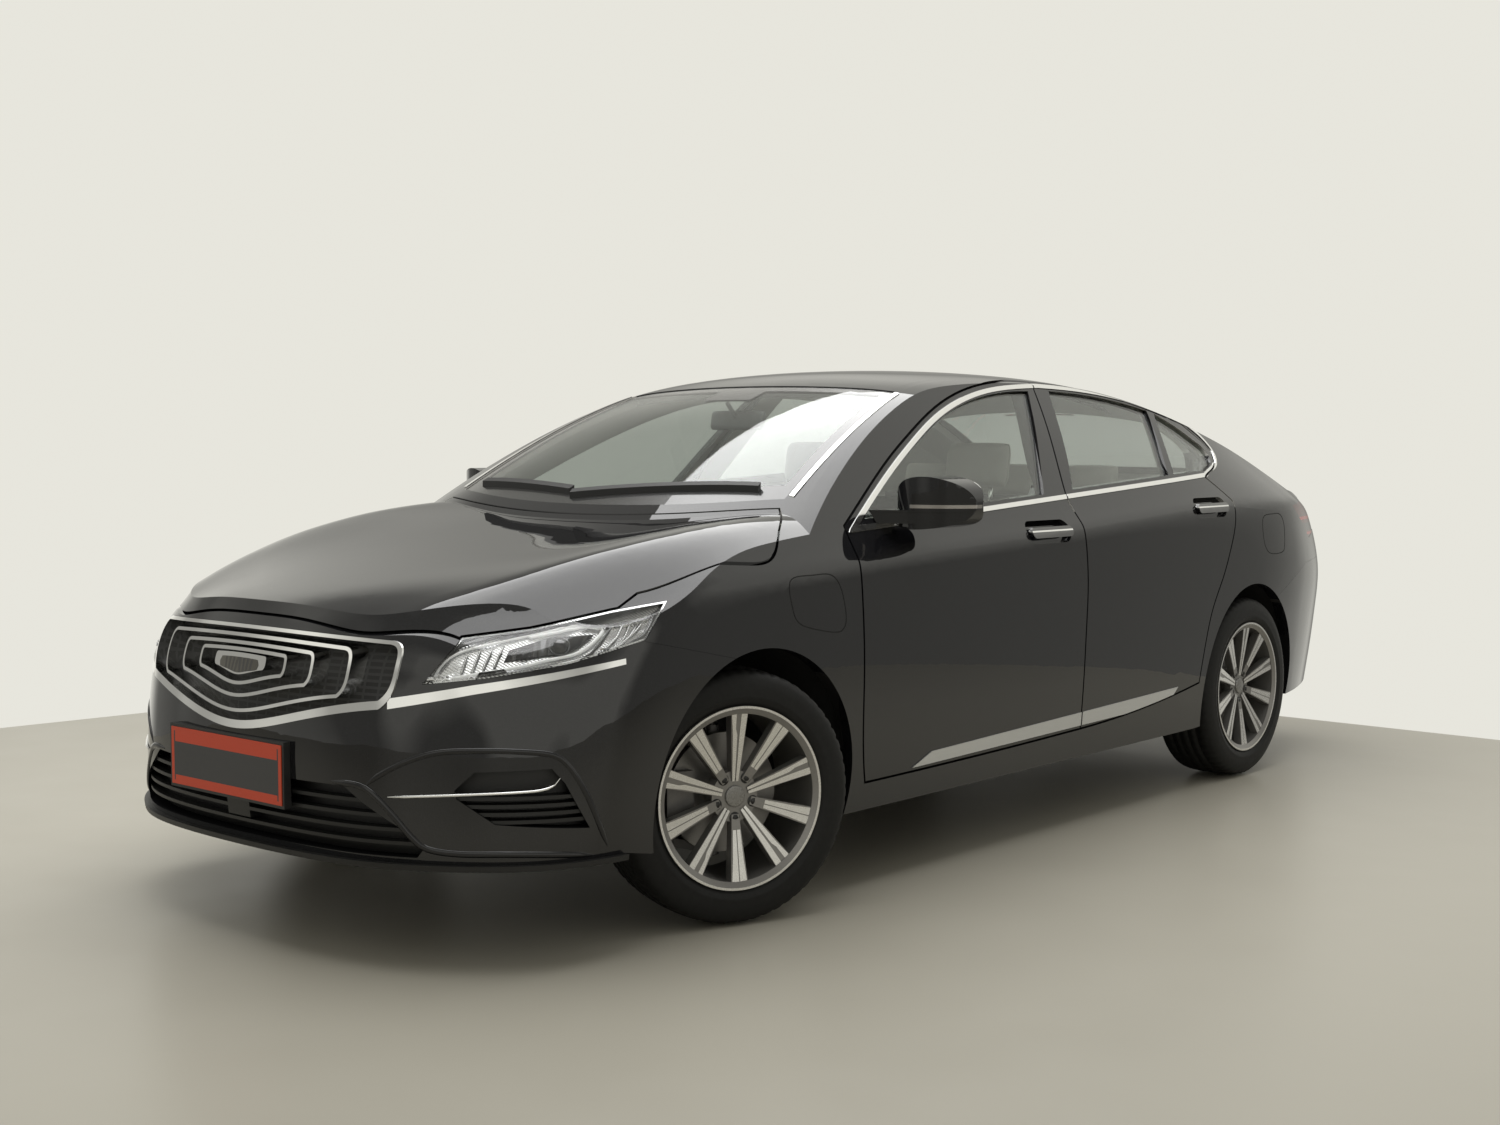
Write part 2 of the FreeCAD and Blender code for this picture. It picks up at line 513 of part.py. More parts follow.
intake_share = [(0.709, -0.2916, 0.2915), (0.749, -0.2804, 0.3206), (0.882, -0.233, 0.3239),
    (0.901, -0.2235, 0.2994), (0.924, -0.2025, 0.2247),
    (0.792, -0.2705, 0.2379), (0.714, -0.2907, 0.2783)]
lamp_share = [(0.645, -0.3088, 0.456), (0.677, -0.2737, 0.5268), (0.752, -0.2175, 0.5387),
    (0.838, -0.1474, 0.5631), (0.887, -0.0947, 0.5763),
    (0.926, -0.1351, 0.5169), (0.86, -0.2035, 0.4858), (0.752, -0.2667, 0.466)]
tail_lamp_share = [(0.924, 1.1544, 0.6675), (0.86, 1.2561, 0.6808), (0.666, 1.3439, 0.6841),
    (0.666, 1.3474, 0.5981), (0.86, 1.2737, 0.5948),
    (0.908, 1.2175, 0.5783)]
front_corner_angle = 45.0
rear_corner_angle = 135.0
corner_near = 1600.0
corner_far = 2600.0
nose_start = -body_length / 2 - overrun
nose_end = nose_start + overrun + body_length / 6
tail_end = -nose_start


def corner_prism(points, angle, shrink=0):
    """Block through (x, y, z) places, pushed along a level line turned from the nose."""
    way = Vector(math.sin(math.radians(angle)), -math.cos(math.radians(angle)), 0)
    spots = [place(*point) for point in points]
    flat = [spot + way * (corner_near - spot.dot(way)) for spot in spots]
    face = Part.Face(Part.makePolygon(flat + flat[:1]))
    face = shrunk(face, shrink) if shrink else face
    return face.extrude(way * (corner_far - corner_near))


# Wheel arches and the kingpins the front wheels turn on
arch_y_share = [0.0035, 1.0053]
arch_height_share = 0.2221
arch_radius = 392.0
liner_radius = 410.0
liner_wall = 4.0
liner_inner_x = 470.0
liner_door_radius = 190.0
arch_places = [place(0, share, 0).y for share in arch_y_share]


def arch_cylinder(radius, y, x_from, x_to):
    return Part.makeCylinder(radius, x_to - x_from, Vector(x_from, y, arch_height_share * body_height),
        Vector(1, 0, 0))


# Hinge leaves: flat discs round the hinge lines, below the outer skin. Each is
# part of the door or lid it carries, and turns in a slot of the body.
half_leaf = 4.0
door_hinge_shares = [(1.005, 0.1526), (1.005, 0.5737)]
door_leaf_height_share = [0.2776, 0.5288]
door_leaf_radius = 78.0
door_leaf_depth = 12.0
hood_hinge_share = (0.623, 0.1165, 0.7171)
hood_leaf_radius = 122.0
boot_hinge_share = (0.484, 1.2421, 0.735)
boot_leaf_radius = 56.0
lid_leaf_depth = 14.0
boot_leaf_play = 2.0


def disc(spot, way, radius, half):
    return Part.makeCylinder(radius, half + half, spot - way * half, way)


def door_leaves(share, room):
    upright = Vector(0, 0, 1)
    spots = [place(*share, height) for height in door_leaf_height_share]
    return [disc(spot, upright, door_leaf_radius + room, half_leaf + room) for spot in spots]


def hood_leaf(room):
    return disc(place(*hood_hinge_share), Vector(1, 0, 0), hood_leaf_radius + room, half_leaf + room)


def boot_leaf(room, depth):
    round_leaf = disc(place(*boot_hinge_share), Vector(1, 0, 0), boot_leaf_radius + room, half_leaf + room)
    return round_leaf.common(top_solids(hood_wall, roof_wall, depth)[2])


# Body shell, with the ring of pillars, sill and rails round the doors
ring_front_share = 0.1316
ring_rear_share = 1.0105
ring_foot_share = 0.1494
shell = outer.cut(inner)
openings = []
for runs in (front_door_runs, rear_door_runs):
    openings += both(side_prism(runs, mid_side, far_side, -door_gap / 2))
shell = shell.cut(openings)
ring_box = block(mid_side, far_side, place(0, ring_front_share, 0).y, place(0, ring_rear_share, 0).y,
                 ring_foot_share * body_height, body_height)
ring = outer.common(ring_box).common(side_at(door_skin + frame_clearance)).cut(side_cabin)
wheel_rooms = [arch_cylinder(liner_radius + seam, y, liner_inner_x - seam, far_side) for y in arch_places]
wheel_rooms += [mirrored(room) for room in wheel_rooms]
apertures = [side_prism(runs, mid_side, far_side) for runs in (front_aperture_runs, rear_aperture_runs)]
leaf_rooms = [leaf for share in door_hinge_shares for leaf in door_leaves(share, half_seam)]
ring = ring.cut(apertures + wheel_rooms[:2] + leaf_rooms)
body = shell.fuse(both(ring))
under_hood = top_solids(hood_wall, roof_wall, deck_wall)[0]
under_hood_room = top_solids(hood_wall + lid_gap, roof_wall, deck_wall)[0]
hood_room = plan_prism(hood_runs, 0, 2 * body_height, -lid_gap / 2).cut(under_hood_room)
lid_room = plan_prism(lid_runs, lid_foot_share * body_height - lid_gap, 2 * body_height, -lid_gap / 2)
holes = [hood_room, lid_room, side_prism(closed(under_share), -far_side, far_side),
         front_prism(grille_runs, nose_start, nose_end), front_prism(lower_opening_runs, nose_start,
             nose_end)]
holes += both(boot_leaf(half_seam, lid_leaf_depth - boot_leaf_play))
for runs in (screen_runs, back_window_runs):
    holes.append(plan_prism(runs, body_height * screen_floor_share, 2 * body_height))
for points, angle in ((lamp_share, front_corner_angle), (intake_share, front_corner_angle),
                      (tail_lamp_share, rear_corner_angle)):
    holes += both(corner_prism(points, angle))
for y in arch_places:
    holes += both(arch_cylinder(arch_radius, y, liner_inner_x, far_side))
body = body.cut(holes)
front_region = closed(bumper_line_share)
rear_region = closed(rear_bumper_share)
front_bumper = body.common(side_prism(front_region, -far_side, far_side))
rear_bumper = body.common(side_prism(rear_region, -far_side, far_side))
body = body.cut([side_prism(region, -far_side, far_side, -seam) for region in (front_region, rear_region)])
write("front_bumper", front_bumper)
write("rear_bumper", rear_bumper)
write("body_shell", body)

# Hood and boot lid
hood = outer.common(plan_prism(hood_runs, 0, 2 * body_height, lid_gap / 2))
hood = hood.cut([under_hood] + both(corner_prism(lamp_share, front_corner_angle, -lid_gap)))
hood_leaves = hood_leaf(0).common(plan_prism(hood_runs, 0, body_height, lid_gap / 2))
hood_leaves = hood_leaves.common(top_solids(lid_leaf_depth, roof_wall, deck_wall)[0])
write("hood", hood.fuse(both(hood_leaves)))
lid_blank = plan_prism(lid_runs, lid_foot_share * body_height, 2 * body_height, lid_gap / 2)
write("boot_lid", outer.common(lid_blank).cut(inner).fuse(both(boot_leaf(0, lid_leaf_depth))))

# Doors. The outer skin has a thin flange all round and a stepped body behind it;
# below the belt a deeper core fills the aperture.
handle_y_share = [0.5, 0.8884]
handle_height_share = [0.6471, 0.6768]
handle_length = 235.0
handle_height = 34.0
handle_rise = 14.0
handle_back = 2.0
handle_middle = 8.0
handle_foot = 26.0
handle_foot_height = 20.0
recess_length = 250.0
recess_height = 72.0
recess_depth = 18.0
dlo_runs = [
    [(0.1579, 0.6699), (0.1625, 0.6768)],
    [(0.1625, 0.6768), (0.2105, 0.7277), (0.2737, 0.7911), (0.3298, 0.842), (0.3874, 0.8883),
    (0.4561, 0.928), (0.5242, 0.9518), (0.5754, 0.9607),
        (0.633, 0.9656)],
    [(0.633, 0.9656), (0.6947, 0.9623), (0.7649, 0.9537), (0.8351, 0.9372), (0.9074, 0.9128)],
    [(0.9074, 0.9128), (0.9439, 0.8962), (0.9754, 0.8672), (0.993, 0.8341), (0.9958, 0.8096),
    (0.986, 0.7865), (0.9579, 0.7654), (0.9263, 0.7495)],
    [(0.9263, 0.7495), (0.1579, 0.6699)],
]
dlo_width = 14.0
sill_share = [(0.2407, 0.2115), (0.273, 0.2366), (0.7958, 0.2631), (0.7758, 0.2287)]


def door_panel(runs, aperture, windows, recess, hinge):
    flange = outer.common(side_prism(runs, mid_side, far_side, door_gap / 2)).cut(side_at(door_flange))
    step = outer.common(side_prism(runs, mid_side, far_side,
        door_gap / 2 + flange_step)).cut(side_at(door_skin))
    core = side_prism(aperture, mid_side, far_side, core_clearance)
    core = outer.common(core.common(side_prism(closed(belt_cut_share), mid_side, far_side))).cut(side_cabin)
    holes = [side_prism(window, mid_side, far_side) for window in windows]
    outline = side_prism(runs, mid_side, far_side, door_gap / 2).common(side_at(door_leaf_depth))
    leaves = [leaf.common(outline) for leaf in door_leaves(hinge, 0)]
    return flange.fuse([step, core] + leaves).cut(holes + [recess])


def stadium(y, z, length, height):
    """Flat face in the side view with round ends, centred on (y, z)."""
    half = (length - height) / 2
    radius = height / 2
    top = Part.makeLine(Vector(0, y - half, z + radius), Vector(0, y + half, z + radius))
    foot = Part.makeLine(Vector(0, y + half, z - radius), Vector(0, y - half, z - radius))
    rear = Part.Arc(top.Vertexes[1].Point, Vector(0, y + half + radius, z),
        foot.Vertexes[0].Point).toShape()
    front = Part.Arc(foot.Vertexes[1].Point, Vector(0, y - half - radius, z),
        top.Vertexes[0].Point).toShape()
    return Part.Face(Part.Wire([top, rear, foot, front]))


def across(face, x_from, x_to):
    moved = face.copy()
    moved.translate(Vector(x_from, 0, 0))
    return moved.extrude(Vector(x_to - x_from, 0, 0))


def door_handle(y, z):
    """Pull bar standing on two feet in the recess."""
    bar = layer(across(stadium(y, z, handle_length, handle_height), mid_side, far_side), -handle_rise,
        -handle_back)
    feet = []
    for end in (-1, 1):
        foot_y = y + end * (handle_length - handle_height) / 2
        foot = across(stadium(foot_y, z, handle_foot, handle_foot_height), mid_side, far_side)
        feet.append(layer(foot, -handle_middle, recess_depth - half_seam))
    return bar.fuse(feet)


dlo_band = side_prism(dlo_runs, mid_side, far_side).cut(side_prism(dlo_runs, mid_side, far_side, dlo_width))
sill_strip = side_prism(closed(sill_share), mid_side, far_side)
for end, runs, aperture, windows, hinge, handle_y, handle_z in (
        ("front", front_door_runs, front_aperture_runs, [front_window_runs], door_hinge_shares[0],
         handle_y_share[0], handle_height_share[0]),
        ("rear", rear_door_runs, rear_aperture_runs, [rear_window_runs, quarter_window_runs],
        door_hinge_shares[1],
         handle_y_share[1], handle_height_share[1])):
    spot = place(0, handle_y, handle_z)
    recess = across(stadium(spot.y, spot.z, recess_length, recess_height), mid_side, far_side)
    panel = door_panel(runs, aperture, windows, recess.cut(side_at(recess_depth)), hinge)
    panes = [layer(outer.common(side_prism(window, mid_side, far_side, half_seam)), glass_inset,
        glass_inset + glass_wall)
             for window in windows]
    on_door = side_prism(runs, mid_side, far_side, door_gap / 2)
    trim = [strip.common(on_door).common(trim_shell) for strip in (dlo_band, sill_strip)]
    trim.append(door_handle(spot.y, spot.z))
    for side, pick in (("left", 0), ("right", 1)):
        write(end + "_" + side + "_door", both(panel)[pick])
        write(end + "_" + side + "_window", *[both(pane)[pick] for pane in panes])
        write(end + "_" + side + "_door_trim", *[both(piece)[pick] for piece in trim])

# Door mirrors
mirror_front_share = [(0.926, 0.7171), (0.937, 0.7436), (0.973, 0.7634), (1.032, 0.772), (1.096, 0.7667),
    (1.15, 0.7482), (1.169, 0.7204),
    (1.155, 0.694), (1.107, 0.6794), (1.032, 0.6728), (0.956, 0.6794), (0.931, 0.694)]
mirror_plan_share = [(0.93, 0.2421), (0.935, 0.2288), (0.967, 0.2211), (1.032, 0.2232), (1.107, 0.2351),
    (1.155, 0.2509), (1.172, 0.2667), (1.155, 0.2747),
    (1.096, 0.2758), (1.021, 0.2747), (0.951, 0.2719), (0.933, 0.2596)]
mirror_arm_share = [(0.849, 0.1982), (0.999, 0.2175), (1.032, 0.2246), (1.026, 0.2456), (0.967, 0.2386),
    (0.849, 0.2333)]
mirror_arm_foot_share = 0.6834
mirror_arm_top_share = 0.7085
mirror_reach = 2 * body_width


def ring_face(points):
    """Flat face inside a smooth closed curve."""
    curve = Part.BSplineCurve()
    curve.interpolate(points, PeriodicFlag=True)
    return Part.Face(Part.Wire([curve.toShape()]))


shape_front = ring_face([place(x, 0, z) for x, z in mirror_front_share])
shape_front.translate(Vector(0, -mirror_reach / 2, 0))
shape_plan = ring_face([place(x, y, 0) for x, y in mirror_plan_share])
mirror_body = shape_front.extrude(Vector(0, mirror_reach,
    0)).common(shape_plan.extrude(Vector(0, 0, 2 * body_height)))
arm = plan_prism(closed(mirror_arm_share), mirror_arm_foot_share * body_height,
    mirror_arm_top_share * body_height)
mirror = mirror_body.fuse(arm.cut(side_at(-trim_rise - half_seam)))
write("left_mirror", mirror)
write("right_mirror", mirrored(mirror))

# Windscreen and rear window
for_screens = [top_solids(depth, depth, depth)[1] for depth in (screen_inset, screen_inset + glass_wall)]
panes = [plan_prism(runs, screen_floor_share * body_height, 2 * body_height,
    half_seam).common(for_screens[0])
         .cut(for_screens[1]) for runs in (screen_runs, back_window_runs)]
write("screens", *panes)

# Wipers lying on the windscreen
wiper_rise = 14.0
wiper_shares = [[(-0.107, 0.0982), (0.623, 0.1316), (0.618, 0.1375), (-0.113, 0.1046)],
                [(-0.645, 0.1291), (-0.129, 0.1046), (-0.124, 0.1109), (-0.639, 0.1354)]]
on_screen = top_solids(-wiper_rise, -wiper_rise, -wiper_rise)[1]
under_wiper = top_solids(hood_wall, screen_inset - trim_seat, deck_wall)[1]
wipers = [plan_prism(closed(points), screen_floor_share * body_height,
    2 * body_height).common(on_screen).cut(under_wiper)
          for points in wiper_shares]
write("wipers", *wipers)

# Grille: bright rings nested inside one another on a dark back plate
grille_middle_share = 0.4726
ring_share = [1.0, 0.76, 0.54, 0.36]
shield_share = 0.21
ring_width = 9.0
frame_lift = 12.0
ring_rise = 4.0
grille_back = 8.0
back_margin = 12.0


def scaled_runs(runs, share):
    """The grille's outline drawn smaller about the middle of the grille."""
    return [[(a * share, grille_middle_share + (b - grille_middle_share) * share) for a, b in run]
        for run in runs]


rings = []
for share in ring_share:
    outline = scaled_runs(grille_runs, share)
    hole = front_prism(outline, nose_start, nose_end, ring_width)
    if not rings:
        raised = hole.copy()
        raised.translate(Vector(0, 0, frame_lift))
        hole = hole.common(raised)
    band = front_prism(outline, nose_start, nose_end, half_seam).cut(hole)
    rings.append(layer(band, -ring_rise, shell_wall + trim_seat))
shield = front_prism(scaled_runs(grille_runs, shield_share), nose_start, nose_end)
rings.append(layer(shield, -ring_rise, shell_wall + trim_seat))
write("grille", *rings)

# Back plates and slats of the main, lower and side openings
slat_count = 4
slat_height = 9.0
slat_inset = 6.0
sensor_width = 95.0
sensor_height = 80.0
lower_foot_share = 0.1824
lower_top_share = 0.2908
back_near = shell_wall + seam
slat_far = back_near - trim_seat
dark = []
for runs in (grille_runs, lower_opening_runs):
    dark.append(layer(front_prism(runs, nose_start, nose_end, -back_margin), back_near,
        back_near + grille_back))
lower_prism = front_prism(lower_opening_runs, nose_start, nose_end, half_seam)
slats = []
for i in range(slat_count):
    z = (lower_foot_share + (lower_top_share - lower_foot_share) * (i + 1) / (slat_count + 1)) * body_height
    slats.append(block(-half_width, half_width, nose_start, nose_end, z - slat_height / 2,
        z + slat_height / 2))
sensor_z = (lower_foot_share + lower_top_share) / 2 * body_height
slats.append(block(-sensor_width / 2, sensor_width / 2, nose_start, nose_end, sensor_z - sensor_height / 2,
                   sensor_z + sensor_height / 2))
grate = slats[0].fuse(slats[1:]).common(lower_prism)
dark.append(layer(grate, slat_inset, slat_far))
intake_back = layer(corner_prism(intake_share, front_corner_angle, -back_margin), back_near,
    back_near + grille_back)
intake_inside = corner_prism(intake_share, front_corner_angle, half_seam)
intake_foot_share = 0.228
intake_top_share = 0.2908
intake_slats = []
for i in range(slat_count):
    z = (intake_foot_share
        + (intake_top_share - intake_foot_share) * (i + 1) / (slat_count + 1)) * body_height
    intake_slats.append(block(0, far_side, nose_start, nose_end, z - slat_height / 2, z + slat_height / 2))
intake_slats = layer(intake_inside.common(intake_slats[0].fuse(intake_slats[1:])), slat_inset, slat_far)
dark += both(intake_back) + both(intake_slats)
lip_foot_share = 0.1633
lip_top_share = 0.173
lip_end_share = -0.1656
lip_reach = 18.0
lip = block(-far_side, far_side, nose_start, place(0, lip_end_share, 0).y, lip_foot_share * body_height,
            lip_top_share * body_height)
dark.append(layer(lip, -lip_reach, shell_wall))
write("grille_backs", *dark)

# Lamps: a clear cover over a dark tub in front, one red block behind
lens_inset = 2.0
lens_wall = 4.0
tub_depth = 46.0
tub_wall = 4.0
tail_lamp_depth = 38.0
lamp_prism = outer.common(corner_prism(lamp_share, front_corner_angle, half_seam))
lens = layer(lamp_prism, lens_inset, lens_inset + lens_wall)
hollow = corner_prism(lamp_share, front_corner_angle,
    half_seam + tub_wall).cut(side_at(tub_depth - tub_wall))
tub = layer(lamp_prism, lens_inset + lens_wall + seam, tub_depth).cut(hollow)
write("headlamps", *both(lens))
write("headlamp_tubs", *both(tub))
tail_lamp = layer(corner_prism(tail_lamp_share, rear_corner_angle, half_seam), lens_inset,
    tail_lamp_depth).cut(lid_room)
write("tail_lamps", *both(tail_lamp))

# Bright strips on the body: beside the windscreen, round the tip of the side
# windows, under the headlamps and across the intakes
screen_strip_share = [(0.742, 0.1333), (0.701, 0.2105), (0.656, 0.2947), (0.615, 0.3649), (0.634, 0.3649),
    (0.675, 0.2947), (0.72, 0.2105), (0.76, 0.1333)]
lamp_strip_share = [(0.602, -0.3368, 0.4329), (0.752, -0.2842, 0.456), (0.86, -0.2246, 0.4732),
    (0.933, -0.1614, 0.4904), (0.934, -0.1614, 0.4812),
    (0.86, -0.2246, 0.4613), (0.752, -0.2842, 0.4415), (0.602, -0.3368, 0.4164)]
tip_start_share = 0.9053
strips = []
blank = plan_prism(closed(screen_strip_share), screen_floor_share * body_height, 2 * body_height)
strips.append(blank.common(trim_shell))
tip_box = block(mid_side, far_side, place(0, tip_start_share, 0).y, tail_end, 0, body_height)
tip = dlo_band.common(tip_box).cut(side_prism(rear_door_runs, mid_side, far_side, -door_gap / 2))
strips.append(tip.common(trim_shell))
lamp_strip = corner_prism(lamp_strip_share, front_corner_angle).cut(
    front_prism(grille_runs, nose_start, nose_end, -half_seam))
strips.append(layer(lamp_strip, -trim_rise, -trim_seat))
write("body_trim", *[piece for strip in strips for piece in both(strip)])

# Number plates, blank, in dark holders
plate_wall = 2.0
holder_margin = 8.0
plate_width = 482.0
plate_height = 150.0
rear_plate_width = 520.0
rear_plate_height = 112.0
plate_x_share = -0.023
plate_height_share = 0.2961
rear_plate_height_share = 0.3966
front_plate_y_share = -0.3537
rear_plate_y_share = 1.4028
holder_wall = 30.0


def plate_pieces(x, y, z, width, height, way):
    """A flat plate and the holder behind it, whose back follows the bumper."""
    holder_y = y - way * (plate_wall + trim_seat)
    plate = block(x - width / 2, x + width / 2, min(y, y - way * plate_wall), max(y, y - way * plate_wall),
                  z - height / 2, z + height / 2)
    half = width / 2 + holder_margin
    high = height / 2 + holder_margin
    back_y = holder_y - way * holder_wall
    holder = block(x - half, x + half, min(holder_y, back_y), max(holder_y, back_y), z - high, z + high)
    return [plate, holder.cut(side_at(-trim_seat))]


front_plate = place(plate_x_share, front_plate_y_share, plate_height_share)
rear_plate = place(0, rear_plate_y_share, rear_plate_height_share)
plates = plate_pieces(front_plate.x, front_plate.y, front_plate.z, plate_width, plate_height, -1)
plates += plate_pieces(0, rear_plate.y, rear_plate.z, rear_plate_width, rear_plate_height, 1)
write("plates", *plates)

# Arch liners
liner_foot_share = 0.1685
liner_far_x = 880.0
liners = []
for y in arch_places:
    blank = arch_cylinder(liner_radius, y, liner_inner_x, liner_far_x)
    blank = blank.cut(arch_cylinder(liner_radius - liner_wall, y, liner_inner_x + liner_wall, far_side))
    hole = arch_cylinder(liner_door_radius, y, 0, far_side)
    slot = block(0, far_side, y - liner_door_radius, y + liner_door_radius, 0,
        arch_height_share * body_height)
    base = block(0, far_side, y - 2 * liner_radius, y + 2 * liner_radius, 0, liner_foot_share * body_height)
    liners.append(blank.cut([hole, slot, base]).common(side_at(shell_wall + seam)))
write("arch_liners", *[piece for liner in liners for piece in both(liner)])

# Floor, firewall, shelves and the tray under the nose
floor_z_share = [0.1322, 0.1553]
floor_y_share = [0.1495, 0.8772]
firewall_y_share = [0.1495, 0.16]
firewall_top_share = 0.6312
cowl_y_share = [0.0754, 0.16]
cowl_z_share = [0.6312, 0.651]
cowl_x_share = 0.752
cabin_x_share = 0.903
seat_step_y_share = [0.6877, 0.8772]
seat_step_z_share = [0.1553, 0.2379]
back_wall_y_share = [0.9123, 0.9228]
boot_floor_y_share = [0.8561, 1.3474]
boot_floor_z_share = [0.2379, 0.2578]
boot_floor_x_share = 0.489
shelf_y_share = [0.9123, 1.2211]
shelf_z_share = [0.6808, 0.694]
shelf_x_share = 0.666
tray_y_share = [-0.3333, -0.1474]
tray_z_share = [0.1633, 0.1732]
support_y_share = [-0.2246, -0.2105]
support_z_share = [0.1732, 0.4627]
support_x_share = 0.602
rail_y_share = [-0.2246, 0.1495]
rail_z_share = [0.2776, 0.3437]
rail_x_share = [0.435, 0.489]


def slab(x_share, ys, zs):
    """Block across the car between shares of length and height."""
    low = place(0, ys[0], zs[0])
    high = place(x_share, ys[1], zs[1])
    return block(-high.x, high.x, low.y, high.y, low.z, high.z)


floor = slab(cabin_x_share, floor_y_share, floor_z_share)
floor = floor.fuse([
    slab(cabin_x_share, firewall_y_share, [floor_z_share[0], firewall_top_share]),
    slab(cowl_x_share, cowl_y_share, cowl_z_share),
    slab(cabin_x_share, seat_step_y_share, [floor_z_share[0], seat_step_z_share[1]]),
    slab(boot_floor_x_share, boot_floor_y_share, boot_floor_z_share),
    slab(boot_floor_x_share, back_wall_y_share, [boot_floor_z_share[0], shelf_z_share[1]]),
    slab(shelf_x_share, shelf_y_share, shelf_z_share),
])
rail = block(rail_x_share[0] * half_width, rail_x_share[1] * half_width, place(0, rail_y_share[0], 0).y,
             place(0, rail_y_share[1], 0).y, rail_z_share[0] * body_height, rail_z_share[1] * body_height)
nose = slab(cabin_x_share, tray_y_share, tray_z_share).common(side_at(shell_wall + grille_back + 2 * seam))
support = slab(support_x_share, support_y_share, support_z_share)
floor = floor.common(side_room).fuse(both(rail) + [support, nose])
floor = floor.cut(wheel_rooms + both(hood_leaf(half_seam)))
write("floor_pan", floor)

# Engine, as one plain block
engine_y_share = [-0.1474, 0.0982]
engine_z_share = [0.1917, 0.4891]
engine_low = place(0, engine_y_share[0], engine_z_share[0])
engine_high = place(rail_x_share[0], engine_y_share[1], engine_z_share[1])
engine_x = engine_high.x - half_seam
write("engine", block(-engine_x, engine_x, engine_low.y, engine_high.y, engine_low.z, engine_high.z))

# Dashboard, steering wheel and seats
dash_share = [(0.1607, 0.4098), (0.1607, 0.6279), (0.1895, 0.651), (0.2386, 0.6576), (0.3088, 0.6345),
    (0.3386, 0.5948), (0.3386, 0.5288), (0.3193, 0.4098)]
dash_x_share = 0.795
dash_clearance = 9.0
console_share = [(0.3193, 0.1555), (0.3193, 0.4362), (0.3614, 0.4098), (0.5895, 0.3437), (0.6035, 0.1555)]
console_x_share = 0.124
hand_wheel_share = (0.398, 0.3737, 0.5981)
quarter_turn = 90.0
full_turn = 360.0
hand_wheel_radius = 182.0
hand_wheel_rim = 15.0
hand_wheel_hub = 62.0
hand_wheel_hub_wall = 34.0
hand_spoke_width = 30.0
hand_spoke_wall = 14.0
hand_tilt = 24.0
column_radius = 26.0
column_gap = 6.0
column_length = 110.0
stub_radius = 12.0
stub_length = 40.0
pin_gap = 0.35
hand_centre = place(*hand_wheel_share)


def on_column(shape):
    """A shape drawn round the z axis, set on the steering column."""
    turned = shape.copy()
    turned.rotate(Vector(0, 0, 0), Vector(1, 0, 0), hand_tilt - quarter_turn)
    turned.translate(hand_centre)
    return turned


def round_bar(radius, z_from, z_to):
    return Part.makeCylinder(radius, z_to - z_from, Vector(0, 0, z_from))


hub_back = -hand_wheel_hub_wall / 2
hand_wheel = Part.makeTorus(hand_wheel_radius, hand_wheel_rim).fuse([
    round_bar(hand_wheel_hub, hub_back, -hub_back),
    round_bar(stub_radius, hub_back - column_gap - stub_length, 0),
    block(-hand_wheel_radius, hand_wheel_radius, -hand_spoke_width / 2, hand_spoke_width / 2,
        -hand_spoke_wall / 2,
          hand_spoke_wall / 2),
    block(-hand_spoke_width / 2, hand_spoke_width / 2, 0, hand_wheel_radius, -hand_spoke_wall / 2,
        hand_spoke_wall / 2),
])
write("steering_wheel", on_column(hand_wheel))
column = round_bar(column_radius, hub_back - column_gap - column_length, hub_back - column_gap)
column = column.cut(round_bar(stub_radius + pin_gap, hub_back - column_gap - stub_length - column_gap, 0))
dash = side_prism(closed(dash_share), -dash_x_share * half_width, dash_x_share * half_width)
dash = dash.common(side_solid([depth + dash_clearance for depth in cabin_depths]))
console = side_prism(closed(console_share), -console_x_share * half_width, console_x_share * half_width)
write("dashboard", dash.fuse([console, on_column(column)]))

# Seats: two in front and a bench behind, each with a cushion, a back and
# headrests on two posts
front_cushion_share = [(0.3719, 0.1556), (0.3719, 0.304), (0.393, 0.3272), (0.5439, 0.3007),
    (0.5439, 0.1556)]
front_back_share = [(0.5298, 0.2644), (0.5649, 0.2644), (0.6386, 0.6742), (0.6246, 0.6973),
    (0.6018, 0.694), (0.5333, 0.3106)]
front_rest_share = [(0.6158, 0.727), (0.6456, 0.727), (0.6544, 0.8196), (0.6404, 0.8361), (0.6246, 0.8295)]
front_post_share = (0.6274, 0.6907)
front_seat_x_share = 0.398
seat_half_width = 250.0
back_half_width = 235.0
rest_half_width = 132.0
post_spacing = 130.0
post_radius = 7.0
post_length = 75.0
bench_share = [(0.6912, 0.2382), (0.6912, 0.3305), (0.7158, 0.3503), (0.8351, 0.3239), (0.9035, 0.6609),
    (0.9121, 0.6609), (0.9121, 0.258),
    (0.8544, 0.258), (0.8544, 0.2382)]
bench_x_share = 0.666
bench_rest_share = [(0.8895, 0.6907), (0.9121, 0.6907), (0.9121, 0.7733), (0.8982, 0.7832),
    (0.8912, 0.7733)]
bench_post_share = (0.9067, 0.6543)
bench_rest_x_share = [-0.408, 0, 0.408]


def seat_part(points, x, half):
    return side_prism(closed(points), x - half, x + half)


def posts(x, point):
    foot = place(0, *point)
    return [Part.makeCylinder(post_radius, post_length, Vector(x + end * post_spacing / 2, foot.y, foot.z))
        for end in (-1, 1)]


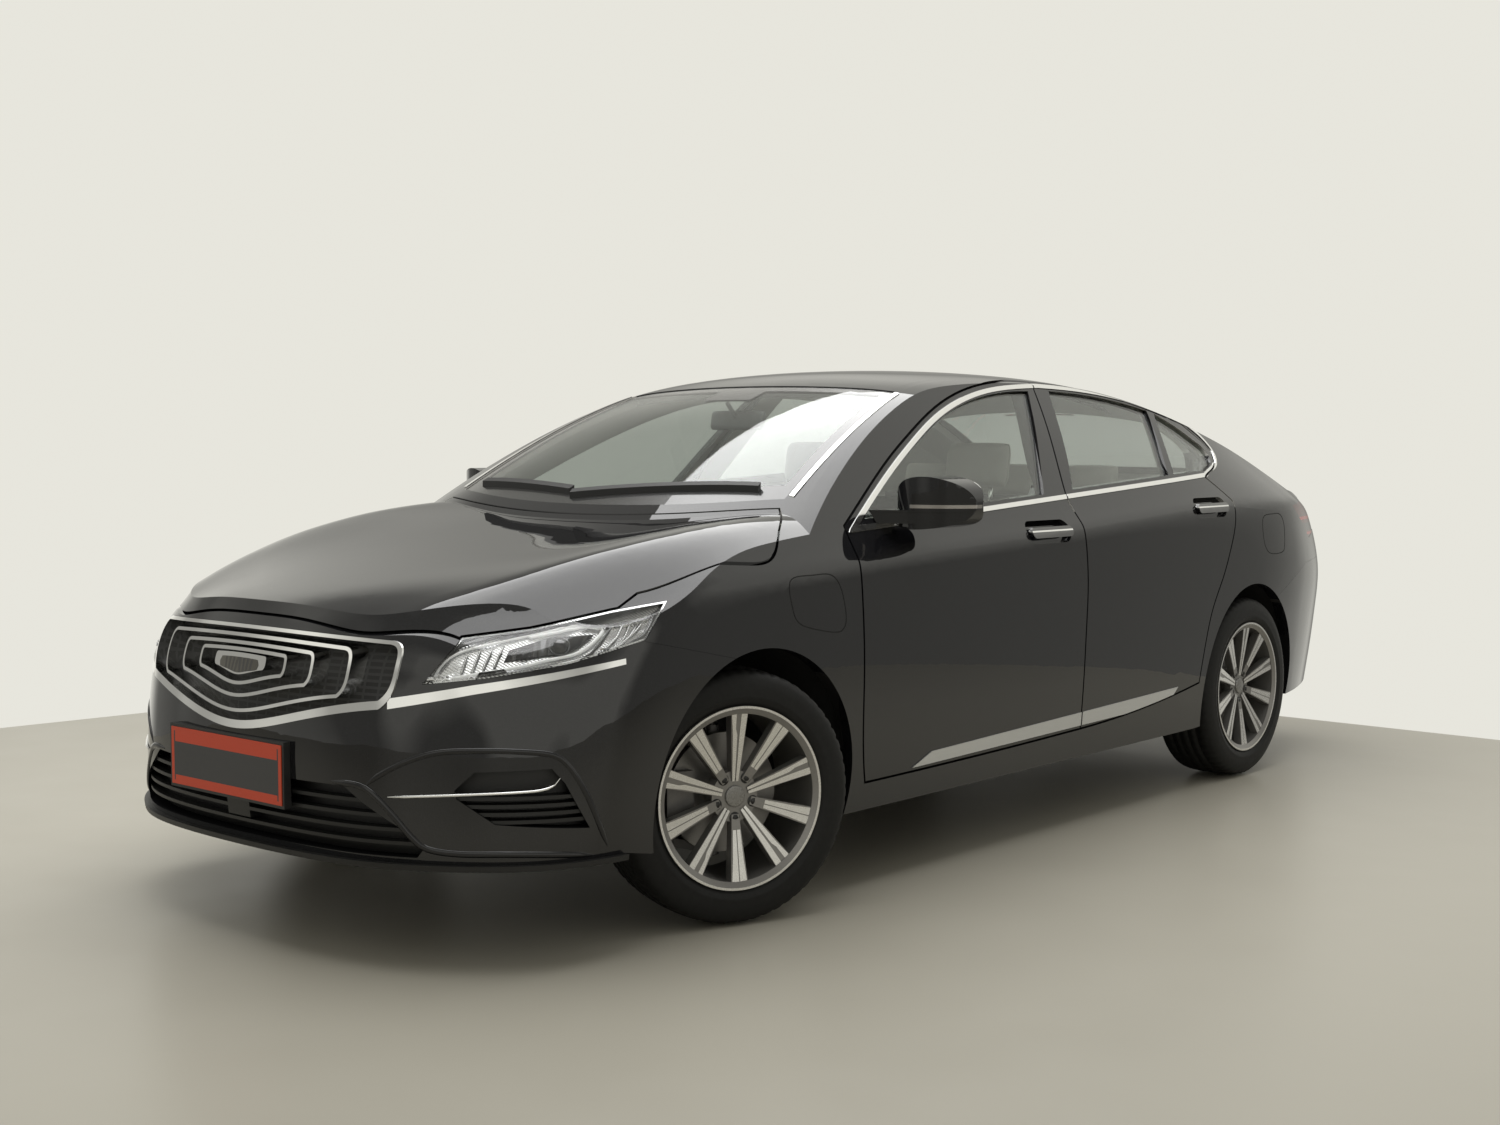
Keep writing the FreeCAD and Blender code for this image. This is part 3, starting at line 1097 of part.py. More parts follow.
seat_x = front_seat_x_share * half_width
front_seat = seat_part(front_cushion_share, seat_x, seat_half_width).fuse(
    [seat_part(front_back_share, seat_x, back_half_width),
    seat_part(front_rest_share, seat_x, rest_half_width)]
    + posts(seat_x, front_post_share))
bench = seat_part(bench_share, 0, bench_x_share * half_width).cut(wheel_rooms)
for share in bench_rest_x_share:
    x = share * half_width
    bench = bench.fuse([seat_part(bench_rest_share, x, rest_half_width)] + posts(x, bench_post_share))
write("seats", *both(front_seat), bench)

# Wheels, drawn with the hub's middle at the origin and the outer face along +X
track = 1590.0
tyre_radius = 338.5
kingpin_x = 735.0
steer_rest = -20.0
rim_radius = 228.6
flange_radius = 243.0
barrel_radius = 221.6
barrel_half = 100.0
flange_half = 108.0
tyre_gap = 0.6
tyre_share = [(1.0, 0.722), (1.11, 0.775), (1.13, 0.842), (1.075, 0.922), (0.93, 0.978), (0.5, 0.997),
    (0, 1)]
spoke_count = 10
spoke_root_width = 22.0
spoke_rim_width = 50.0
disc_radius = 160.0
disc_inner_x = -20.0
disc_outer_x = 2.0
hub_radius = 55.0
hub_front_x = 70.0
hub_flange_radius = 68.0
hub_flange_x = 45.0
spindle_radius = 15.0
spindle_end_x = 40.0
bore_gap = 0.5
bore_end_x = 43.5
spoke_profile = [(50.0, 48.0), (74.0, 48.0), (98.0, 224.6), (68.0, 224.6)]


def x_bar(radius, x_from, x_to):
    return Part.makeCylinder(radius, x_to - x_from, Vector(x_from, 0, 0), Vector(1, 0, 0))


def spun(points):
    """Ring swept round the axle from (x, radius) corners."""
    corners = [Vector(x, 0, r) for x, r in points]
    return Part.Face(Part.makePolygon(corners + corners[:1])).revolve(Vector(0, 0, 0), Vector(1, 0, 0),
        full_turn)


flange_drop = 7.0
barrel = spun([(-flange_half, flange_radius), (-barrel_half, flange_radius), (-barrel_half, rim_radius),
               (barrel_half, rim_radius), (barrel_half, flange_radius), (flange_half, flange_radius),
               (flange_half, flange_radius - flange_drop), (barrel_half, barrel_radius), (-barrel_half,
               barrel_radius),
               (-flange_half, flange_radius - flange_drop)])
spoke = Part.Face(Part.makePolygon([Vector(x, -spoke_rim_width / 2, r) for x,
    r in spoke_profile + spoke_profile[:1]]))
spoke_root = spoke_profile[0][1]
spoke_end = spoke_profile[-1][1]
taper = [Vector(0, -spoke_root_width / 2, spoke_root), Vector(0, -spoke_rim_width / 2, spoke_end),
         Vector(0, spoke_rim_width / 2, spoke_end), Vector(0, spoke_root_width / 2, spoke_root)]
taper = Part.Face(Part.makePolygon(taper + taper[:1])).extrude(Vector(barrel_half, 0, 0))
spoke = spoke.extrude(Vector(0, spoke_rim_width, 0)).common(taper)
spokes = []
for i in range(spoke_count):
    turned = spoke.copy()
    turned.rotate(Vector(0, 0, 0), Vector(1, 0, 0), i * full_turn / spoke_count)
    spokes.append(turned)
rim = barrel.fuse(spokes
    + [x_bar(hub_radius, disc_inner_x, hub_front_x), x_bar(hub_flange_radius, hub_flange_x, hub_front_x),
                            x_bar(disc_radius, disc_inner_x, disc_outer_x)])
rim = rim.cut(x_bar(spindle_radius + bore_gap, disc_inner_x, bore_end_x))

half_tread = [(a * barrel_half, b * tyre_radius) for a, b in tyre_share]
crown = [Vector(x, 0, r) for x, r in half_tread] + [Vector(-x, 0, r) for x, r in reverse(half_tread[:-1])]
bead_x = barrel_half - tyre_gap
bead_radius = rim_radius + tyre_gap
curve = Part.BSplineCurve()
curve.interpolate(crown)
low = [crown[-1], Vector(-bead_x, 0, flange_radius + tyre_gap), Vector(-bead_x, 0, bead_radius),
       Vector(bead_x, 0, bead_radius), Vector(bead_x, 0, flange_radius + tyre_gap), crown[0]]
edges = [curve.toShape()] + [Part.makeLine(a, b) for a, b in zip(low, low[1:])]
tyre = Part.Face(Part.Wire(edges)).revolve(Vector(0, 0, 0), Vector(1, 0, 0), full_turn)

# Knuckle: upright on its pin, bearing, spindle and brake caliper
pin_x = kingpin_x - track / 2
pin_radius = 8.0
pin_reach = [-184.0, 179.0]
upright_half = 25.0
upright_x = [-78.0, -42.0]
upright_z = [-143.5, 144.5]
bearing_radius = 55.0
bearing_x = [-80.0, -30.0]
caliper_y = [-178.0, -100.0]
caliper_z = [-60.0, 70.0]
caliper_bridge = 12.0
caliper_inner_x = [-47.0, -26.0]
caliper_outer_x = [8.0, 30.0]
bracket_y = [-150.0, -20.0]
bracket_half = 20.0
spindle = x_bar(spindle_radius, bearing_x[0], spindle_end_x)
caliper = block(caliper_inner_x[0], caliper_inner_x[1], *caliper_y, *caliper_z).fuse([
    block(caliper_outer_x[0], caliper_outer_x[1], *caliper_y, *caliper_z),
    block(caliper_inner_x[0], caliper_outer_x[1], caliper_y[0], caliper_y[0] + caliper_bridge, *caliper_z),
])
bearing = x_bar(bearing_radius, *bearing_x)
bracket = block(upright_x[0], caliper_inner_x[1], *bracket_y, -bracket_half, bracket_half)
knuckle = block(*upright_x, -upright_half, upright_half, *upright_z).fuse([
    spindle, caliper, bearing, bracket,
    Part.makeCylinder(pin_radius, pin_reach[1] - pin_reach[0], Vector(pin_x, 0, pin_reach[0])),
])


def stood(shape, side, y, turned):
    """A wheel piece at its axle: side 1 is left, -1 right; turned ones follow the steering."""
    piece = shape if side > 0 else mirrored(shape)
    piece = piece.copy()
    piece.translate(Vector(side * track / 2, y, tyre_radius))
    if turned:
        piece.rotate(Vector(side * kingpin_x, y, 0), Vector(0, 0, 1), steer_rest)
    return piece


for name, side in (("left", 1), ("right", -1)):
    write(name + "_knuckle", stood(knuckle, side, front_axle_y, True))
    for end, y in (("front", front_axle_y), ("rear", rear_axle_y)):
        write(end + "_" + name + "_tyre", stood(tyre, side, y, end == "front"))
        write(end + "_" + name + "_rim", stood(rim, side, y, end == "front"))

# Undercarriage: subframe, arms and struts in front, a beam with its hub
# carriers behind, and the exhaust
subframe_x = 400.0
subframe_half = 90.0
subframe_z = [165.0, 245.0]
eye_radius = 20.0
lower_arm_z = [165.0, 190.0]
lower_eye_z = [160.0, 190.0]
upper_arm_z = [492.0, 508.0]
upper_eye_z = [488.0, 512.0]
upper_arm_x = 455.6
arm_half = 25.0
strut_radius = 45.0
strut_x = 580.0
strut_foot_z = 175.0
beam_half = 25.0
beam_x = 670.0
beam_z = [250.0, 330.0]
carrier_radius = 70.0
carrier_x = [-135.0, -30.0]
pipe_radius = 28.0
pipe_x = 100.0
pipe_y_share = [0.186, 1.1509]
muffler_x = 320.0
muffler_y_share = [1.1333, 1.2632]
muffler_foot_z = 185.0


def strut(y, arch_y):
    """Strut that reaches up to the arch liner."""
    reach = strut_radius + abs(arch_y - y)
    rise = math.sqrt((liner_radius - liner_wall) ** 2 - reach ** 2) - half_seam
    top = arch_height_share * body_height + rise
    return Part.makeCylinder(strut_radius, top - strut_foot_z, Vector(strut_x, y, strut_foot_z))


def eye(z_range):
    return Part.makeCylinder(eye_radius, z_range[1] - z_range[0],
        Vector(kingpin_x, front_axle_y, z_range[0]))


arms = [block(subframe_x - arm_half, kingpin_x, front_axle_y - arm_half, front_axle_y + arm_half,
    *lower_arm_z),
        block(upper_arm_x, kingpin_x, front_axle_y - arm_half, front_axle_y + arm_half, *upper_arm_z),
        eye(lower_eye_z), eye(upper_eye_z), strut(front_axle_y, arch_places[0])]
front_side = arms[0].fuse(arms[1:])
front_side = front_side.cut(Part.makeCylinder(pin_radius + pin_gap, body_height,
    Vector(kingpin_x, front_axle_y, 0)))
front_frame = block(-subframe_x, subframe_x, front_axle_y - subframe_half, front_axle_y + subframe_half,
    *subframe_z)
front_frame = front_frame.fuse(both(front_side))
carrier = x_bar(carrier_radius,
    *carrier_x).fuse([spindle, caliper, block(carrier_x[0], caliper_inner_x[1], *bracket_y,
                                                                          -bracket_half, bracket_half)])
rear_frame = block(-beam_x, beam_x, rear_axle_y - beam_half, rear_axle_y + beam_half, *beam_z)
strut_behind = strut(rear_axle_y,
    arch_places[1]).cut(block(0, beam_x, rear_axle_y - strut_radius, rear_axle_y + strut_radius, 0,
    beam_z[0]))
rear_frame = rear_frame.fuse(both(strut_behind)
    + [stood(carrier, side, rear_axle_y, False) for side in (1, -1)])
pipe_z = floor_z_share[0] * body_height - seam - pipe_radius
pipe_start, pipe_end = [place(0, share, 0).y for share in pipe_y_share]
pipe = Part.makeCylinder(pipe_radius, pipe_end - pipe_start, Vector(pipe_x, pipe_start, pipe_z),
    Vector(0, 1, 0))
muffler_start, muffler_end = [place(0, share, 0).y for share in muffler_y_share]
muffler = block(-muffler_x, muffler_x, muffler_start, muffler_end, muffler_foot_z,
                boot_floor_z_share[0] * body_height - seam)
write("undercarriage", front_frame, rear_frame, pipe.fuse(muffler))
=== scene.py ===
import math

import bmesh
import bpy
from mathutils import Matrix, Vector
from mathutils.bvhtree import BVHTree


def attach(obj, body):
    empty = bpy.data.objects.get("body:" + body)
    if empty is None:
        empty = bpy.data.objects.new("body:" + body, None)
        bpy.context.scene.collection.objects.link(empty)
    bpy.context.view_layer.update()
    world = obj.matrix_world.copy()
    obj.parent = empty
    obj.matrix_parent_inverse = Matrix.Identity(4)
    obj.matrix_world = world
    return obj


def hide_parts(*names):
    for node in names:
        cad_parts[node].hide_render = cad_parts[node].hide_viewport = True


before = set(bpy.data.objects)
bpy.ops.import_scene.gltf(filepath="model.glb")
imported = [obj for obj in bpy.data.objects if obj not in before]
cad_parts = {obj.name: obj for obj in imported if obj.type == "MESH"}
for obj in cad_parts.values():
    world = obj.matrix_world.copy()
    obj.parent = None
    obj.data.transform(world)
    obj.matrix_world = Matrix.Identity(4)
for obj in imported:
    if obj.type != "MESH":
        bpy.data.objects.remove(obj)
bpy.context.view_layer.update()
scene = bpy.context.scene

# Painted shell: pressed steel body, doors and lids with moulded bumpers, all in
# gloss black lacquer under a clear coat. Faces that look into the car carry its
# lining instead: pale cloth above the belt, grained moulding below it.
lacquer_black = (0.006, 0.006, 0.007, 1)
lacquer_fleck = (0.020, 0.020, 0.023, 1)
roof_cloth = (0.50, 0.49, 0.46, 1)
door_card_grey = (0.055, 0.055, 0.058, 1)
hidden_steel = (0.012, 0.012, 0.013, 1)
belt_height = 1.02
middle_height = 0.80
inward_limit = -0.03
lengthwise_share = 0.1
fleck_scale = 900.0
fleck_limit = 0.60
gloss_grain = (40.0, 0.06, 0.22)
lining_grain = (60.0, 0.1, 0.75)
weave = (700.0, 0.12, 0.0)
weave_light = (0.3, 0.3, 0.3, 1)
weave_dark = (0, 0, 0, 1)


class Field:
    """A value that varies over a surface. Arithmetic on it adds Math nodes to its tree."""

    def __init__(self, tree, socket=None):
        self.tree = tree
        self.socket = socket

    def node(self, kind, settings, inputs, out=0):
        """Adds a node of that type, with its settings and then its sockets' values or links."""
        made = self.tree.nodes.new("ShaderNode" + kind)
        for name, value in settings.items():
            setattr(made, name, value)
        for name, value in inputs.items():
            self.plug(made.inputs[name], value)
        return Field(self.tree, made.outputs[out])

    def plug(self, socket, value):
        if isinstance(value, Field):
            self.tree.links.new(value.socket, socket)
        else:
            socket.default_value = value

    def maths(self, operation, *values):
        return self.node("Math", {"operation": operation}, dict(enumerate(values)))

    def __add__(self, other):
        return self.maths("ADD", self, other)

    def __sub__(self, other):
        return self.maths("SUBTRACT", self, other)

    def __rsub__(self, other):
        return self.maths("SUBTRACT", other, self)

    def __mul__(self, other):
        return self.maths("MULTIPLY", self, other)

    def __truediv__(self, other):
        return self.maths("DIVIDE", self, other)

    def __mod__(self, other):
        return self.maths("FLOORED_MODULO", self, other)

    def __lt__(self, other):
        return self.maths("LESS_THAN", self, other)

    def __gt__(self, other):
        return self.maths("GREATER_THAN", self, other)

    def __and__(self, other):
        return self.maths("MINIMUM", self, other)

    def __or__(self, other):
        return self.maths("MAXIMUM", self, other)

    def __abs__(self):
        return self.maths("ABSOLUTE", self)

    __radd__ = __add__
    __rmul__ = __mul__


class Finish(Field):
    """A material. Its constants sit on the shader's own sockets, and the rest is written with fields."""

    def __init__(self, name, **constants):
        self.material = bpy.data.materials.new(name)
        self.material.use_nodes = True
        super().__init__(self.material.node_tree)
        self.shader = self.tree.nodes["Principled BSDF"]
        for words, value in constants.items():
            self.set(words.replace("_", " "), value)
        self.place = self.node("TexCoord", {}, {}, "Object")

    def set(self, name, value):
        sockets = {socket.name.lower(): socket for socket in self.shader.inputs}
        self.plug(sockets[name.lower()], value)

    def parts(self, vector):
        """The x, y and z of a vector, each as a field."""
        split = self.node("SeparateXYZ", {}, {"Vector": vector})
        return [Field(self.tree, socket) for socket in split.socket.node.outputs]

    def noise(self, scale, detail=2, vector=None):
        sockets = {"Vector": vector or self.place, "Scale": scale, "Detail": detail, "Roughness": 0.5}
        return self.node("TexNoise", {}, sockets)

    def grain(self, scale, spread, least):
        """A value that drifts upwards from least by a share of spread, in grains of that scale."""
        return self.noise(scale) * spread + least

    def between(self, share, first, second):
        """first where share is 0, second where it is 1: colours or plain numbers."""
        if isinstance(first, tuple) or isinstance(second, tuple):
            return self.node("Mix", {"data_type": "RGBA"}, {0: share, 6: first, 7: second}, 2)
        if isinstance(first, Field) and first.socket.type == "RGBA":
            return self.node("Mix", {"data_type": "RGBA"}, {0: share, 6: first, 7: second}, 2)
        return self.node("Mix", {"data_type": "FLOAT"}, {0: share, 2: first, 3: second}, 0)

    def bump(self, height, strength, distance):
        sockets = {"Height": height, "Strength": strength, "Distance": distance}
        self.set("Normal", self.node("Bump", {}, sockets))


def facing_in(finish):
    """1 on faces that look towards the middle of the car, 0 on those that look out of it."""
    x, y, z = finish.parts(finish.place)
    nx, ny, nz = finish.parts(finish.node("TexCoord", {}, {}, "Normal"))
    return nx * x + ny * y * lengthwise_share + nz * (z - middle_height) < inward_limit


def dress(finish, *names):
    """Gives CAD nodes their finish."""
    for name in names:
        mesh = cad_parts[name].data
        mesh.materials.clear()
        mesh.materials.append(finish.material)


def flecked(finish):
    """Black lacquer with its fine metal flecks."""
    return finish.between(finish.noise(fleck_scale) > fleck_limit, lacquer_black, lacquer_fleck)


def lacquer(name, lining, upper_lining):
    finish = Finish(name, metallic=0.0, coat_roughness=0.015, coat_ior=1.6, specular_ior_level=0.0)
    inside = facing_in(finish)
    x, y, z = finish.parts(finish.place)
    threads = finish.grain(*weave)
    inner = finish.between(z > belt_height, finish.between(threads, lining, weave_dark),
                           finish.between(threads, upper_lining, weave_light))
    finish.set("Base Color", finish.between(inside, flecked(finish), inner))
    finish.set("Roughness", finish.between(inside, finish.grain(*gloss_grain), finish.grain(*lining_grain)))
    finish.set("Coat Weight", 1 - inside)
    return finish


dress(lacquer("body lacquer", hidden_steel, roof_cloth), "body_shell")
corners = [f"{end}_{side}" for end in ("front", "rear") for side in ("left", "right")]
dress(lacquer("door lacquer", door_card_grey, roof_cloth), *[corner + "_door" for corner in corners])
dress(lacquer("lid lacquer", hidden_steel, hidden_steel), "hood", "boot_lid", "front_bumper", "rear_bumper")

# Bright trim: chromed strips round the side windows, along the windscreen and
# under the lamps, with the grille's nested rings. The sill strips are brushed,
# and the handles are black lacquer with one bright line.
chrome_silver = (0.80, 0.80, 0.79, 1)
brushed_silver = (0.62, 0.63, 0.64, 1)
chrome_grain = (25.0, 0.05, 0.06)
chrome = Finish("bright chrome", metallic=1.0, base_color=chrome_silver)
chrome.set("Roughness", chrome.grain(*chrome_grain))
dress(chrome, "grille", "body_trim")
handle_lines = ((0.981, 0.986), (1.026, 1.031))
front_handle_z = (0.60, 1.0)
rear_handle_z = (1.0, 1.06)
rear_handle_y = (0.85, 1.2)
brushed_top = 0.50
stroke_scale = 600.0
stroke_stretch = 0.02
stroke_depth = 0.2
stroke_least = 0.24
door_trim = Finish("door trim", coat_roughness=0.02, coat_ior=1.5)
x, y, z = door_trim.parts(door_trim.place)


def inside_of(value, limits):
    """1 where a value is between two limits."""
    return (value > limits[0]) & (value < limits[1])


front_handle = inside_of(z, front_handle_z)
rear_handle = inside_of(z, rear_handle_z) & inside_of(y, rear_handle_y)
front_line, rear_line = (inside_of(z, limits) for limits in handle_lines)
lacquered = (front_handle & (1 - front_line)) | (rear_handle & (1 - rear_line))
brushed = z < brushed_top
along = door_trim.node("CombineXYZ", {}, {"X": x, "Y": y * stroke_stretch, "Z": z})
strokes = door_trim.noise(stroke_scale, vector=along) * stroke_depth + stroke_least
metal = door_trim.between(brushed, chrome_silver, brushed_silver)
door_trim.set("Base Color", door_trim.between(lacquered, metal, lacquer_black))
door_trim.set("Metallic", 1 - lacquered)
door_trim.set("Roughness", door_trim.between(brushed, door_trim.grain(*chrome_grain), strokes))
door_trim.set("Coat Weight", lacquered)
dress(door_trim, *[corner + "_door_trim" for corner in corners])

# Black mouldings: grille backs, wipers and arch liners, injection moulded with a fine grain.
moulding_black = (0.012, 0.012, 0.012, 1)
leather_scale = 1400.0
moulding = Finish("grained moulding", base_color=moulding_black)
moulding.set("Roughness", moulding.grain(leather_scale, 0.2, 0.38))
moulding.bump(moulding.noise(leather_scale), 0.15, 0.0004)
dress(moulding, "wipers")
# The grille backs carry a drawn mesh: raised bars in dark moulding, with painted shade, darker still, in the
# openings between them and over the whole face below the mesh's foot.
mesh_pitch = 0.016
mesh_length = 2.5
mesh_share = 0.42
mesh_bar_share = 0.30
mesh_foot = 0.54
mesh_opening_shade = (0.006, 0.006, 0.006, 1)
mesh_bar_black = (0.030, 0.030, 0.031, 1)
lattice = Finish("grille moulding")
x, y, z = lattice.parts(lattice.place)
cell_x = abs((x / (mesh_length * mesh_pitch)) % 1 - 0.5) > mesh_share
cell_z = abs((z / mesh_pitch) % 1 - 0.5) > mesh_bar_share
bars = (cell_x | cell_z) & (z > mesh_foot)
lattice.set("Base Color", lattice.between(bars, mesh_opening_shade, mesh_bar_black))
lattice.set("Roughness", lattice.grain(leather_scale, 0.2, 0.34))
lattice.bump(bars + lattice.grain(leather_scale, 0.05, 0.0), 0.8, 0.004)
dress(lattice, "grille_backs")
liner = Finish("arch liner moulding", base_color=(0.008, 0.008, 0.008, 1))
liner.set("Roughness", liner.grain(300.0, 0.2, 0.65))
liner.bump(liner.noise(220.0), 0.3, 0.002)
dress(liner, "arch_liners")

# Mirrors: lacquered housings on short arms, with a clear turn lamp strip let into
# the lower third and silvered glass behind.
turn_lamp = (1.078, 1.088)
turn_lamp_back = -0.73
turn_lamp_inner = 0.93
turn_lamp_clear = (0.32, 0.30, 0.28, 1)
glass_back = -0.7085
glass_x = (0.885, 1.066)
glass_z = (1.040, 1.152)
mirror_silver = (0.86, 0.87, 0.88, 1)
mirror_gloss = 0.02
turn_lamp_metal = 0.7
housing_seam = 1.066
housing_gap = 0.0012
seam_shade = (0.001, 0.001, 0.001, 1)
mirror_black = Finish("mirror lacquer", coat_roughness=0.015, specular_ior_level=0.0)
x, y, z = mirror_black.parts(mirror_black.place)
silvered = (y > glass_back) & inside_of(abs(x), glass_x) & inside_of(z, glass_z)
lamp_strip = inside_of(z, turn_lamp) & (y < turn_lamp_back) & (abs(x) > turn_lamp_inner)
shell = mirror_black.between(abs(z - housing_seam) < housing_gap, flecked(mirror_black), seam_shade)
shell = mirror_black.between(lamp_strip, shell, turn_lamp_clear)
mirror_black.set("Base Color", mirror_black.between(silvered, shell, mirror_silver))
mirror_black.set("Metallic", silvered | (lamp_strip * turn_lamp_metal))
mirror_black.set("Roughness", mirror_black.between(silvered, mirror_black.grain(*gloss_grain), mirror_gloss))
mirror_black.set("Coat Weight", 1 - silvered)
dress(mirror_black, "left_mirror", "right_mirror")

# Glazing: green tinted laminated screens and tempered door glass. The screens
# have a black printed border, with a patch behind the inner mirror.
glass_green = (0.90, 0.955, 0.925, 1)
glass_deep = (0.7, 0.85, 0.8, 1)
print_tone = (0.004, 0.004, 0.004, 1)


def toned(name, tones, mottle, roughness, **constants):
    """A finish between two tones: mottle is (scale, share), and roughness is (scale, spread, least)."""
    finish = Finish(name, **constants)
    scale, share = mottle
    finish.set("Base Color", finish.between(finish.noise(scale) * share, *tones))
    finish.set("Roughness", finish.grain(*roughness))
    return finish


def glazing(name):
    return toned(name, (glass_green, glass_deep), (3.0, 0.05), (8.0, 0.004, 0.0), transmission_weight=1.0,
                 ior=1.02, coat_weight=1.0, coat_roughness=0.01, coat_ior=1.5)


# A border's side is (half width, where along the car, narrowing), and its foot and
# top are (bow, where along the car).
windscreen_border = ((0.651, -1.128, 0.1754), (0.244, -1.168), (0.116, -0.520))
rear_border = ((0.462, 1.227, -0.1755), (0.14, 1.245), (-0.188, 1.957))
mirror_patch = (0.10, -0.60)
between_screens = 0.5


def printed(finish):
    """1 on the printed border of the windscreen and the rear window."""
    x, y, z = finish.parts(finish.place)
    across = abs(x)
    borders = []
    for (reach, start, narrowing), foot, top in (windscreen_border, rear_border):
        off_side = across > reach - (y - start) * narrowing
        borders.append(off_side | (y < x * x * foot[0] + foot[1]) | (y > x * x * top[0] + top[1]))
    front = borders[0] | ((across < mirror_patch[0]) & (y > mirror_patch[1]))
    return finish.between(y > between_screens, front, borders[1])


dress(glazing("window glass"), *[corner + "_window" for corner in corners])
screen_glass = glazing("screen glass")
print_sockets = {"Base Color": print_tone, "Roughness": 0.25, "Coat Weight": 1.0, "Coat Roughness": 0.01}
print_black = screen_glass.node("BsdfPrincipled", {}, print_sockets)
clear = Field(screen_glass.tree, screen_glass.shader.outputs[0])
layered = screen_glass.node("MixShader", {}, {0: printed(screen_glass), 1: clear, 2: print_black})
screen_glass.plug(screen_glass.tree.nodes["Material Output"].inputs["Surface"], layered)
dress(screen_glass, "screens")

# Lamps: each headlamp has a clear moulded cover over a silvered bowl with a lens
# unit, stepped fins and two white light guides in it. The rear ones are red
# covers with a clear band and lit edges.
lens_tones = ((0.98, 0.985, 0.985, 1), (0.93, 0.95, 0.95, 1))
lens = toned("clear lens", lens_tones, (5.0, 0.05), (10.0, 0.004, 0.0), transmission_weight=1.0, ior=1.02,
             coat_weight=1.0, coat_roughness=0.01, coat_ior=1.45)
dress(lens, "headlamps")
prism_count = 120
prism_shade_share = 0.8
dark_band_z = (0.905, 0.935)
lit_edges = ((0.955, 0.006), (0.893, 0.005))
reflector_top = 0.6
prism_shade_and_red = ((0.045, 0.0012, 0.001, 1), (0.16, 0.004, 0.003, 1))
red_band = (0.012, 0.004, 0.004, 1)
red_lit = (0.42, 0.012, 0.010, 1)
red_lens = Finish("red lens", coat_weight=1.0, coat_roughness=0.02, specular_ior_level=0.0)
x, y, z = red_lens.parts(red_lens.place)
# Each prism is painted darker in its groove than on its ridge: painted shade that follows the same relief as
# the bump.
prisms = abs((z * prism_count) % 1 - 0.5)
high_edge, low_edge = (abs(z - height) < half for height, half in lit_edges)
red_tone = red_lens.between(prisms * prism_shade_share, *prism_shade_and_red)
red_tone = red_lens.between(inside_of(z, dark_band_z), red_tone, red_band)
red_lens.set("Base Color", red_lens.between(high_edge | low_edge | (z < reflector_top), red_tone, red_lit))
red_lens.set("Roughness", red_lens.grain(30.0, 0.05, 0.15))
red_lens.bump(prisms, 0.25, 0.002)
dress(red_lens, "tail_lamps")
flute_count = 95
flute_slant = 1.2
flute_shade_and_silver = ((0.50, 0.505, 0.51, 1), (0.78, 0.78, 0.77, 1))
bowl_silver = Finish("silvered bowl", metallic=1.0)
x, y, z = bowl_silver.parts(bowl_silver.place)
# The flutes are painted darker in their grooves than on their ridges: painted shade that follows the same
# relief as the bump.
flutes = abs(((y * flute_slant + z) * flute_count) % 1 - 0.5)
bowl_silver.set("Base Color", bowl_silver.between(flutes, *flute_shade_and_silver))
bowl_silver.set("Roughness", bowl_silver.grain(80.0, 0.08, 0.20))
bowl_silver.bump(flutes, 0.35, 0.004)
dress(bowl_silver, "headlamp_tubs")
guide_tones = ((0.86, 0.87, 0.87, 1), (0.72, 0.73, 0.73, 1))
guide_glow = ((0.10, 0.10, 0.10, 1), (0.07, 0.07, 0.07, 1))
guide_white = toned("white light guide", guide_tones, (90.0, 0.4), (60.0, 0.05, 0.20), coat_weight=0.6)
guide_white.set("Emission Color", guide_white.between(guide_white.noise(90.0), *guide_glow))
guide_white.shader.inputs["Emission Strength"].default_value = 1.0
unit_tones = ((0.010, 0.010, 0.011, 1), (0.022, 0.022, 0.024, 1))
unit_black = toned("lamp unit black", unit_tones, (400.0, 1.0), (300.0, 0.1, 0.30), coat_weight=1.0,
                   coat_roughness=0.03)


def skin(*names):
    """The surface of some CAD nodes, to lay thin pieces on."""
    points, faces = [], []
    for name in names:
        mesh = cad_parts[name].data
        faces += [tuple(corner + len(points) for corner in polygon.vertices) for polygon in mesh.polygons]
        points += [vertex.co.copy() for vertex in mesh.vertices]
    return BVHTree.FromPolygons(points, faces)


def seat_of(surface, point):
    """The nearest place on a surface, with its normal turned out of the car."""
    spot, up = surface.find_nearest(Vector(point))[:2]
    out = Vector((point[0], point[1] / 2, point[2] - middle_height))
    return spot, up if up.dot(out) > 0 else -up


def run(corners, step=0.015, closed=False):
    """A smooth line through some corners, in steps of about that length."""
    spots = [Vector(corner) for corner in corners]
    count = len(spots)
    line = []
    for i in range(count if closed else count - 1):
        if closed:
            a, b, c, d = (spots[(i + k) % count] for k in (-1, 0, 1, 2))
        else:
            a, b, c, d = spots[max(i - 1, 0)], spots[i], spots[i + 1], spots[min(i + 2, count - 1)]
        cuts = max(1, round((c - b).length / step))
        for k in range(cuts):
            t = k / cuts
            bend = (2 * a - 5 * b + 4 * c - d) * t**2 + (3 * b - a - 3 * c + d) * t**3
            line.append(0.5 * (2 * b + (c - a) * t + bend))
    return line if closed else line + [spots[-1]]


